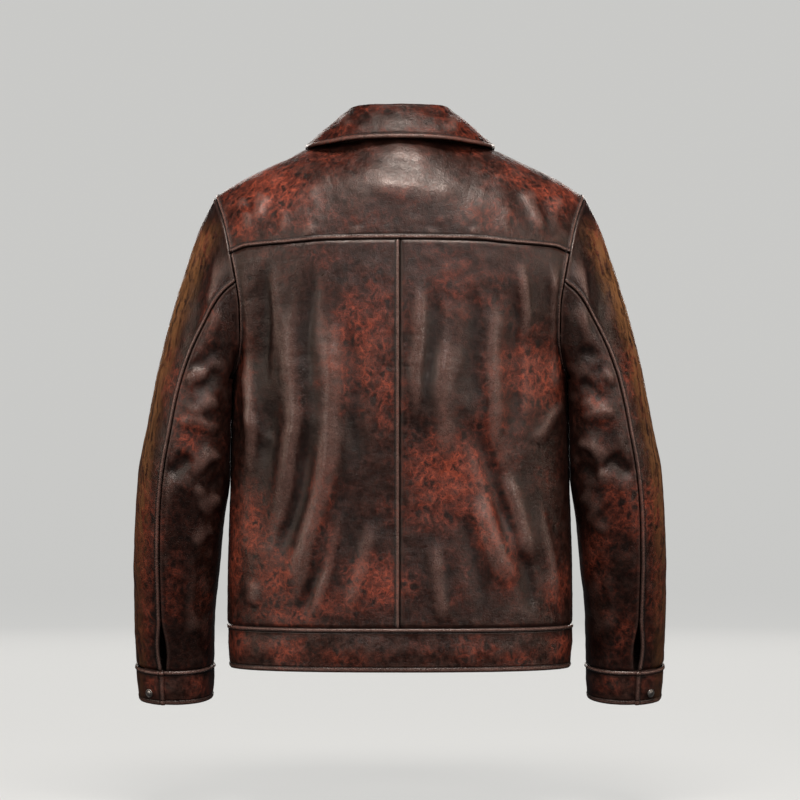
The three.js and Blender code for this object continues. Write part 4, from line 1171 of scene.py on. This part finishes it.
def shifted(ring, angle, outer_half):
    """Moves a column so that the back seam keeps its own line, and opens into the slit."""
    far = SLEEVE_FRONT_ANGLE if outer_half else SLEEVE_FRONT_ANGLE + 360
    seam = back_seam_angle(ring)
    opened = SLIT_HALF * fade(ring, SLIT_RING, 9.5) * (1 - 0.5 * fade(ring, 9.6, CUFF_RING))
    span = np.radians(np.abs(seam - far)) * SLIT_RADIUS
    seam = seam + (far - seam) * opened / span
    return far + (angle - far) * (seam - far) / (SLEEVE_BACK_ANGLE - far)


sleeve_leather = leather(
    "worn sleeve leather", Dark=(0.0024, 0.0012, 0.0008), Brown=(0.0135, 0.0056, 0.0038),
    Rust=(0.072, 0.0135, 0.0082))


def sleeve_relief(plain, rings, angles, side_name):
    """The sleeve's folds and creases, on its back and front and not on its edges."""
    x, z = np.abs(plain[..., 0]), plain[..., 2]
    clear = fade(rings, 0, 2) * (1 - fade(rings, 9, 9.8))
    facing = np.sin(np.radians(angles))
    behind = crease_height(SLEEVE_BACK_CREASES[side_name], x, z) * (facing > 0)
    ahead = crease_height(SLEEVE_FRONT_CREASES, x, z) * (facing < 0)
    fine = (behind + ahead) * fade(rings, 0, 0.5) * (1 - fade(rings, 9.2, 9.9))
    return (fold_height(SLEEVE_FOLDS, x, z) * clear + fine) * facing**2


sleeve_lines = {"left": [], "right": []}
sleeve_pieces = {"left": [], "right": []}
for side_name in ("left", "right"):
    mirror = [-1, 1, 1] if side_name == "left" else [1, 1, 1]
    for half, (first, last) in (("outer", (SLEEVE_FRONT_ANGLE, SLEEVE_BACK_ANGLE)),
                                ("under", (SLEEVE_BACK_ANGLE, SLEEVE_FRONT_ANGLE + 360))):
        rings = sleeve_rings[:, None]
        angles = shifted(rings, sleeve_columns(first, last)[None, :], half == "outer")
        plain = sleeve_form(rings, angles) * mirror
        centre = (oval_ring(rings, 0.0) + oval_ring(rings, 180.0)) / 2 * mirror
        back_edge, front_edge = ("right", "left") if half == "outer" else ("left", "right")
        styles = {"top": "seamed", "bottom": "under",
                  back_edge: "stitched" if half == "outer" else "seamed", front_edge: "seamed"}
        outermost = fade(np.cos(np.radians(angles)), 0.55, 0.98) * fade(-plain[..., 2], 90, 150)
        rust_low = fade(-plain[..., 2], 430, 560)
        piece, outer, normal = make_cloth(
            f"sleeve_{side_name}_{half}", plain, plain - centre, styles,
            sleeve_relief(plain, rings, angles, side_name), LEATHER, SLEEVE_PATCHES[side_name],
            [sleeve_leather, flesh], tan=outermost * (1 - 0.6 * rust_low),
            seed={"left": 71, "right": 75}[side_name] + (half == "under"))
        sleeve_pieces[side_name].append((piece, plain))
        if half == "outer":
            sleeve_lines[side_name].append(seam_line(outer, normal, back_edge, STITCH_INSET))
    stitches = sew(f"sleeve_{side_name}_stitches", sleeve_lines[side_name], dark_thread)

# ---- Cuffs ---------------------------------------------------------------------------------
# A double band of leather sewn round the end of each sleeve. Its end laps over the slit as a
# short tab, topstitched all round and held by one snap.

FLAP_ANGLE = 76
FLAP_LIFT = BAND + 0.7
LAP = 36                        # degrees that lie under the tab


def cuff_form(ring, turn):
    """The right cuff's plain form, lifted where its tab lies over it, and directions out of the arm."""
    wrapped = np.mod(turn, 360)
    plain = sleeve_form(ring, wrapped)
    centre = (oval_ring(ring, 0.0) + oval_ring(ring, 180.0)) / 2
    ahead = sleeve_form(ring, np.mod(turn + 1, 360)) - sleeve_form(ring, np.mod(turn - 1, 360))
    down = sleeve_form(np.minimum(ring + 0.02, HAND_RING), wrapped) - sleeve_form(ring - 0.02, wrapped)
    normal = unit(np.cross(ahead, down))
    normal *= np.sign(np.sum(normal * (plain - centre), axis=-1, keepdims=True))
    lift = FLAP_LIFT * (1 - fade(FLAP_ANGLE - turn, 40, 75))
    return plain + normal * lift[..., None], plain - centre


cuff_turn_samples = np.linspace(FLAP_ANGLE, FLAP_ANGLE - 360 - LAP, 600)
cuff_turns = evenly(cuff_turn_samples, cuff_form(10.5, cuff_turn_samples)[0], 2.6)
CUFF_WIDTH = 44
tucked_ring = CUFF_RING - BAND_TUCK * (HAND_RING - CUFF_RING) / CUFF_WIDTH   # up under the sleeve's end
cuff_rings = tucked_ring + (HAND_RING - tucked_ring) * spaced(CUFF_WIDTH, 1.5)
CUFF_INSET = 5
CUFF_PATCHES = [
    (320, -690, 20, 20, 0.5), (-320, -690, 20, 20, 0.5),
    (270, -700, 22, 14, 0.6), (-262, -700, 18, 14, 0.4),
]
for side_name in ("left", "right"):
    mirror = [-1, 1, 1] if side_name == "left" else [1, 1, 1]
    plain, outward = cuff_form(cuff_rings[:, None], cuff_turns[None, :])
    plain, outward = plain * mirror, outward * mirror
    crown = 0.7 * np.sin(np.pi * fade(edge_distances(plain)["top"], 5, 40))
    tan = 0.4 * fade(np.cos(np.radians(cuff_turns)), 0.6, 1.0)[None, :]
    cuff, outer, normal = make_cloth(
        f"cuff_{side_name}", plain, outward,
        {"top": "stitched", "bottom": "turned", "left": "turned", "right": "open"},
        crown + 0.3 * rolling(plain, 40, 81), BAND, CUFF_PATCHES, [band_leather, flesh],
        tan=tan, seed=82 + (side_name == "left"), gapped=False)
    cuff_stitches = sew(f"cuff_{side_name}_stitches", [
        seam_line(outer, normal, "top", CUFF_INSET, (5, 40)),
        seam_line(outer, normal, "bottom", CUFF_INSET, (5, 40)),
        seam_line(outer, normal, "left", CUFF_INSET, (5, 5)),
    ], dark_thread)

# ---- Collar stand --------------------------------------------------------------------------
# A low upright band of leather sewn into the neck seam, hidden behind by the leaf that it carries.

LEAF = 2.6                      # two layers of the thicker collar leather
ROLL_RADIUS = 4.6
COLLAR_END = 174                # degrees round the neck from the centre back


def collar_curve(points):
    """A curve round the neck through (angle, x, y, z), the same on both sides."""
    reflected = [(-points[1][0], -points[1][1], points[1][2], points[1][3]), *points]
    axes = [smooth([(p[0], p[k]) for p in reflected]) for k in (1, 2, 3)]

    def curve(angle):
        x, y, z = (value(np.abs(angle)) for value in axes)
        return np.stack([np.where(angle < 0, -x, x), y, z], -1)

    return curve


fold_line = collar_curve([
    (0, 0, -68, 46.5), (35, 40, -60, 46.5), (65, 60, -33, 45), (90, 67, -2, 38),
    (120, 61, 32, 16), (150, 38, 58, -18), (174, 10, 70, -44),
])
leaf_edge = collar_curve([
    (0, 0, -96, 2), (30, 52, -91, 1), (60, 95, -66, -3), (85, 119, -26, -5.2), (97, 123, 4, -3),
    (110, 122, 28, -9), (125, 117, 52, -33), (150, 101, 83, -72), (174, 62, 102, -112),
])


def leaf_frame(angle):
    """The leaf's free edge, the level way out to it, and the centre that the leaf rolls round."""
    fold, edge = fold_line(angle), leaf_edge(angle)
    out = unit((edge - fold) * [1, 1, 0])
    return edge, out, fold - [0, 0, ROLL_RADIUS]


def neck_point(angle):
    x = NECK_HALF * np.sin(np.radians(angle))
    turn = np.where(np.abs(angle) > 90, neck_turn(x, True), neck_turn(x, False))
    return body_form(x, turn)


NECK_LENGTH = 380               # roughly, to space the stand's points by
stand_angles = (spaced(NECK_LENGTH, 3.4) * 2 - 1) * COLLAR_END
_, stand_out, stand_centre = leaf_frame(stand_angles)
stand_top = stand_centre + stand_out * (LEAF - ROLL_RADIUS) - [0, 0, SEAM_GAP]
stand_share = spaced(40, 3.0)[:, None, None]
stand_foot = neck_point(stand_angles) + [0, 0, 2 * SEAM_GAP]
stand_plain = stand_foot * (1 - stand_share) + stand_top * stand_share
stand, _, _ = make_cloth(
    "collar_stand", stand_plain, from_axis(stand_plain),
    {"top": "under", "bottom": "under", "left": "turned", "right": "turned"},
    0.4 * rolling(stand_plain, 40, 91), LEAF, [(0, 0, 200, 40, 0.35)], [band_leather, flesh],
    seed=92, gapped=False)

# ---- Collar leaf ---------------------------------------------------------------------------
# Two layers of worn leather that roll over the stand and fall on the shoulders. The free edge
# and the points are topstitched all round, rubbed pale, and carry a painted highlight.

ROLL_END = 25
ROLL_SHARE = 0.3                # of the grid, up to where the roll becomes the flat leaf
LEAF_BULGE = 3


def leaf_form(angle, share):
    edge, out, centre = leaf_frame(angle)
    rolled = np.radians(180 + (ROLL_END - 180) * np.clip(share / ROLL_SHARE, 0, 1))[..., None]
    roll = centre + ROLL_RADIUS * (out * np.cos(rolled) + np.sin(rolled) * [0, 0, 1])
    along = np.clip((share - ROLL_SHARE) / (1 - ROLL_SHARE), 0, 1)[..., None]
    bulge = LEAF_BULGE * np.sin(np.pi * along)
    return roll * (1 - along) + edge * along + bulge * (out * 0.6 + [0, 0, 0.5])


collar_leather = leather(
    "worn collar leather", gloss=0.22, Dark=(0.0028, 0.0014, 0.001), Brown=(0.0135, 0.0058, 0.0042),
    Rust=(0.042, 0.0088, 0.0058), Ember=(0.22, 0.04, 0.02))
LEAF_LENGTH = 560               # roughly, to space its points by, as is the width
LEAF_WIDTH = 60
leaf_angles = (spaced(LEAF_LENGTH, 3.0) * 2 - 1) * COLLAR_END
roll_shares = np.linspace(0, ROLL_SHARE, 14)[:-1]
fall_shares = ROLL_SHARE + (1 - ROLL_SHARE) * spaced(LEAF_WIDTH, 2.0, fine_from_start=False)
leaf_shares = np.concatenate([roll_shares, fall_shares])
leaf_plain = leaf_form(leaf_angles[None, :], leaf_shares[:, None])
LEAF_CREASES = [
    ([(-60, 10), (-66, 24), (-62, 36)], 1.4, 7, 0.2),
    ([(64, 8), (70, 22), (66, 36)], 1.4, 7, -0.2),
]
leaf_x, leaf_z = leaf_plain[..., 0], leaf_plain[..., 2]
leaf_relief = crease_height(LEAF_CREASES, leaf_x, leaf_z) * (leaf_plain[..., 1] < 0)
leaf_relief = (leaf_relief + 0.55 * rolling(leaf_plain, 46, 95)) * fade(leaf_shares, 0.1, 0.4)[:, None]
LEAF_PATCHES = [
    (-85, 10, 40, 30, 0.75), (85, 10, 40, 30, 0.75), (0, 10, 140, 12, 0.4), (-60, -80, 60, 50, 0.7),
    (60, -80, 60, 50, 0.7), (-30, 40, 50, 10, 0.5), (40, 40, 40, 10, 0.5),
]
collar, collar_outer, collar_normal = make_cloth(
    "collar", leaf_plain, from_axis(leaf_plain),
    {"top": "open", "bottom": "turned", "left": "turned", "right": "turned"}, leaf_relief, LEAF,
    LEAF_PATCHES, [collar_leather, flesh], seed=96, gapped=False)
collar_stitches = sew("collar_stitches", [
    seam_line(collar_outer, collar_normal, "bottom", STITCH_INSET, (6, 6)),
    seam_line(collar_outer, collar_normal, "left", STITCH_INSET, (10, 6)),
    seam_line(collar_outer, collar_normal, "right", STITCH_INSET, (10, 6)),
], dark_thread)

# ---- Snaps ---------------------------------------------------------------------------------
# Pressed caps of dark nickel: a shallow dome inside a rolled rim, unevenly tarnished.
# One holds each cuff tab, six hold the placket and one the waistband.


def dark_nickel():
    """Tarnished plating with fine scratches."""
    material = bare_material("worn dark nickel")
    tree = material.node_tree
    place = object_place(tree)
    tarnish = remap(tree, noise(tree, place, 420, 4, 0.6), 0.35, 0.68)
    scratches = noise(tree, place, 2600, 2)
    tone = blend_colour(tree, tarnish, (0.22, 0.19, 0.17, 1), (0.6, 0.56, 0.52, 1))
    rough = calc(tree, "MULTIPLY_ADD", scratches, 0.2, 0.3)
    shade(tree, scratches, 0.00006, 0.5, {"Base Color": tone, "Roughness": rough, "Metallic": 1.0})
    return material


nickel = dark_nickel()
SNAP_CROWN = 2.5                # the top of the dome, above the leather
SNAP_PROFILE = [                # rings of the dome, the rolled rim and its foot, by radius and height
    (1.6, 2.42), (2.9, 2.1), (3.7, 1.65), (4.1, 1.45), (4.5, 1.6),
    (4.95, 1.65), (5.35, 1.35), (5.5, 0.9), (5.4, 0.35), (5.1, 0),
]
SNAP_SIDES = 40
snap_turns = np.linspace(0, 2 * np.pi, SNAP_SIDES, endpoint=False)
for node_name in sorted(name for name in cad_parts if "snap" in name):
    cad_points = np.array([v.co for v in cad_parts[node_name].data.vertices]) / MM
    middle = (cad_points.min(0) + cad_points.max(0)) / 2
    axis = np.linalg.eigh(np.cov((cad_points - middle).T))[1][:, 0]      # the way it is thinnest
    out_y = -1 if node_name.startswith("cuff") else 1
    axis = axis * np.sign(axis[1]) * out_y
    foot = middle + axis * ((cad_points - middle) @ axis).min()
    side = unit(np.cross(axis, [0, 0, 1]))
    up = np.cross(side, axis)
    spokes = np.cos(snap_turns)[:, None] * side + np.sin(snap_turns)[:, None] * up
    rings = [foot + axis * height + spokes * radius for radius, height in SNAP_PROFILE]
    points = np.concatenate([*rings, [foot + axis * SNAP_CROWN], [foot]])
    faces = [(a, d, c, b) for a, b, c, d in tube_faces(0, len(rings), SNAP_SIDES)]
    last = (len(rings) - 1) * SNAP_SIDES
    for k in range(SNAP_SIDES):
        following = (k + 1) % SNAP_SIDES
        faces.append((len(points) - 2, k, following))
        faces.append((len(points) - 1, last + following, last + k))
    cap = smooth_mesh(f"{node_name}_cap", points, faces, [nickel])
    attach(cap, "root")
    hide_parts(node_name)

# ---- Studio --------------------------------------------------------------------------------
# A pale round floor that curves up into a wall on every side, soft lights above and beside the
# jacket, and a long lens looking level at its back.

FLOOR_Z = -860
BOWL_PROFILE = [                # rings of the floor and of the wall, by radius and height
    (3600, 0), (5200, 0), (6200, 120), (6900, 500), (7300, 1200), (7400, 2200), (7400, 5500),
]
BOWL_SIDES = 96
bowl_points = [(radius * np.cos(turn), radius * np.sin(turn), FLOOR_Z + height)
               for radius, height in BOWL_PROFILE
               for turn in np.linspace(0, 2 * np.pi, BOWL_SIDES, endpoint=False)]
bowl_points.append((0, 0, FLOOR_Z))
bowl_faces = [(len(bowl_points) - 1, k, (k + 1) % BOWL_SIDES) for k in range(BOWL_SIDES)]
bowl_faces += [(a, d, c, b) for a, b, c, d in tube_faces(0, len(BOWL_PROFILE), BOWL_SIDES)]
plaster = bpy.data.materials.new("pale plaster")
plaster.use_nodes = True
plaster_inputs = plaster.node_tree.nodes["Principled BSDF"].inputs
plaster_inputs["Base Color"].default_value = (0.15, 0.15, 0.145, 1)
plaster_inputs["Roughness"].default_value = 0.9
plaster_inputs["Emission Color"].default_value = (0.9, 0.9, 0.88, 1)
plaster_inputs["Emission Strength"].default_value = 0.62
studio_floor = smooth_mesh("studio_floor", bowl_points, bowl_faces, [plaster])
studio_floor.visible_diffuse = False
studio_floor.visible_glossy = False

world = bpy.data.worlds.new("studio")
world.use_nodes = True
background = world.node_tree.nodes["Background"].inputs
background["Color"].default_value = (0.9, 0.93, 1.0, 1)
background["Strength"].default_value = 0.04
bpy.context.scene.world = world


def soft_light(name, place, aim, width, height, watts, colour):
    """An area light that looks at a point of the jacket. It doesn't show itself to the camera."""
    data = bpy.data.lights.new(name, "AREA")
    data.shape = "RECTANGLE"
    data.size, data.size_y, data.energy, data.color = width, height, watts, colour
    lamp = bpy.data.objects.new(name, data)
    lamp.location = place
    way = Vector(aim) - Vector(place)
    lamp.rotation_euler = way.to_track_quat("-Z", "Y").to_euler()
    lamp.visible_camera = False
    bpy.context.scene.collection.objects.link(lamp)


WARM = (1.0, 0.95, 0.9)
AMBER = (1.0, 0.9, 0.78)
soft_light("key_overhead", (0.1, -1.5, 2.0), (0, 0, -0.15), 1.5, 0.7, 100, (1.0, 0.95, 0.92))
soft_light("near_camera", (0.3, -3.9, 0.9), (0, 0, -0.35), 0.5, 0.4, 24, (0.96, 0.97, 1.0))
soft_light("strip_left", (-1.85, -2.1, 0.2), (-0.1, -0.1, -0.35), 0.3, 1.6, 15, WARM)
soft_light("strip_right", (1.85, -2.1, 0.3), (0.1, -0.1, -0.35), 0.3, 1.6, 15, WARM)
soft_light("side_left", (-2.3, -0.7, 0.1), (-0.1, -0.1, -0.35), 0.3, 1.5, 7, AMBER)
soft_light("side_right", (2.3, -0.7, 0.2), (0.1, -0.1, -0.35), 0.3, 1.5, 7, AMBER)
soft_light("front_left", (-0.9, 3.3, 0.5), (-0.1, 0, -0.35), 0.6, 1.4, 13, WARM)
soft_light("front_right", (0.9, 3.3, 0.5), (0.1, 0, -0.35), 0.6, 1.4, 13, WARM)
soft_light("front_top", (0, 3.1, 2.0), (0, 0, -0.3), 1.2, 0.6, 13, WARM)

camera_data = bpy.data.cameras.new("camera")
camera_data.lens = 157          # long, for a camera 4.5 m away
camera_data.sensor_width = 36
camera_data.dof.use_dof = False
camera = bpy.data.objects.new("camera", camera_data)
camera.location = (0, -4.5, -0.33)
camera.rotation_euler = (np.pi / 2, 0, 0)
bpy.context.scene.collection.objects.link(camera)
bpy.context.scene.camera = camera
bpy.context.scene.view_settings.view_transform = "Standard"
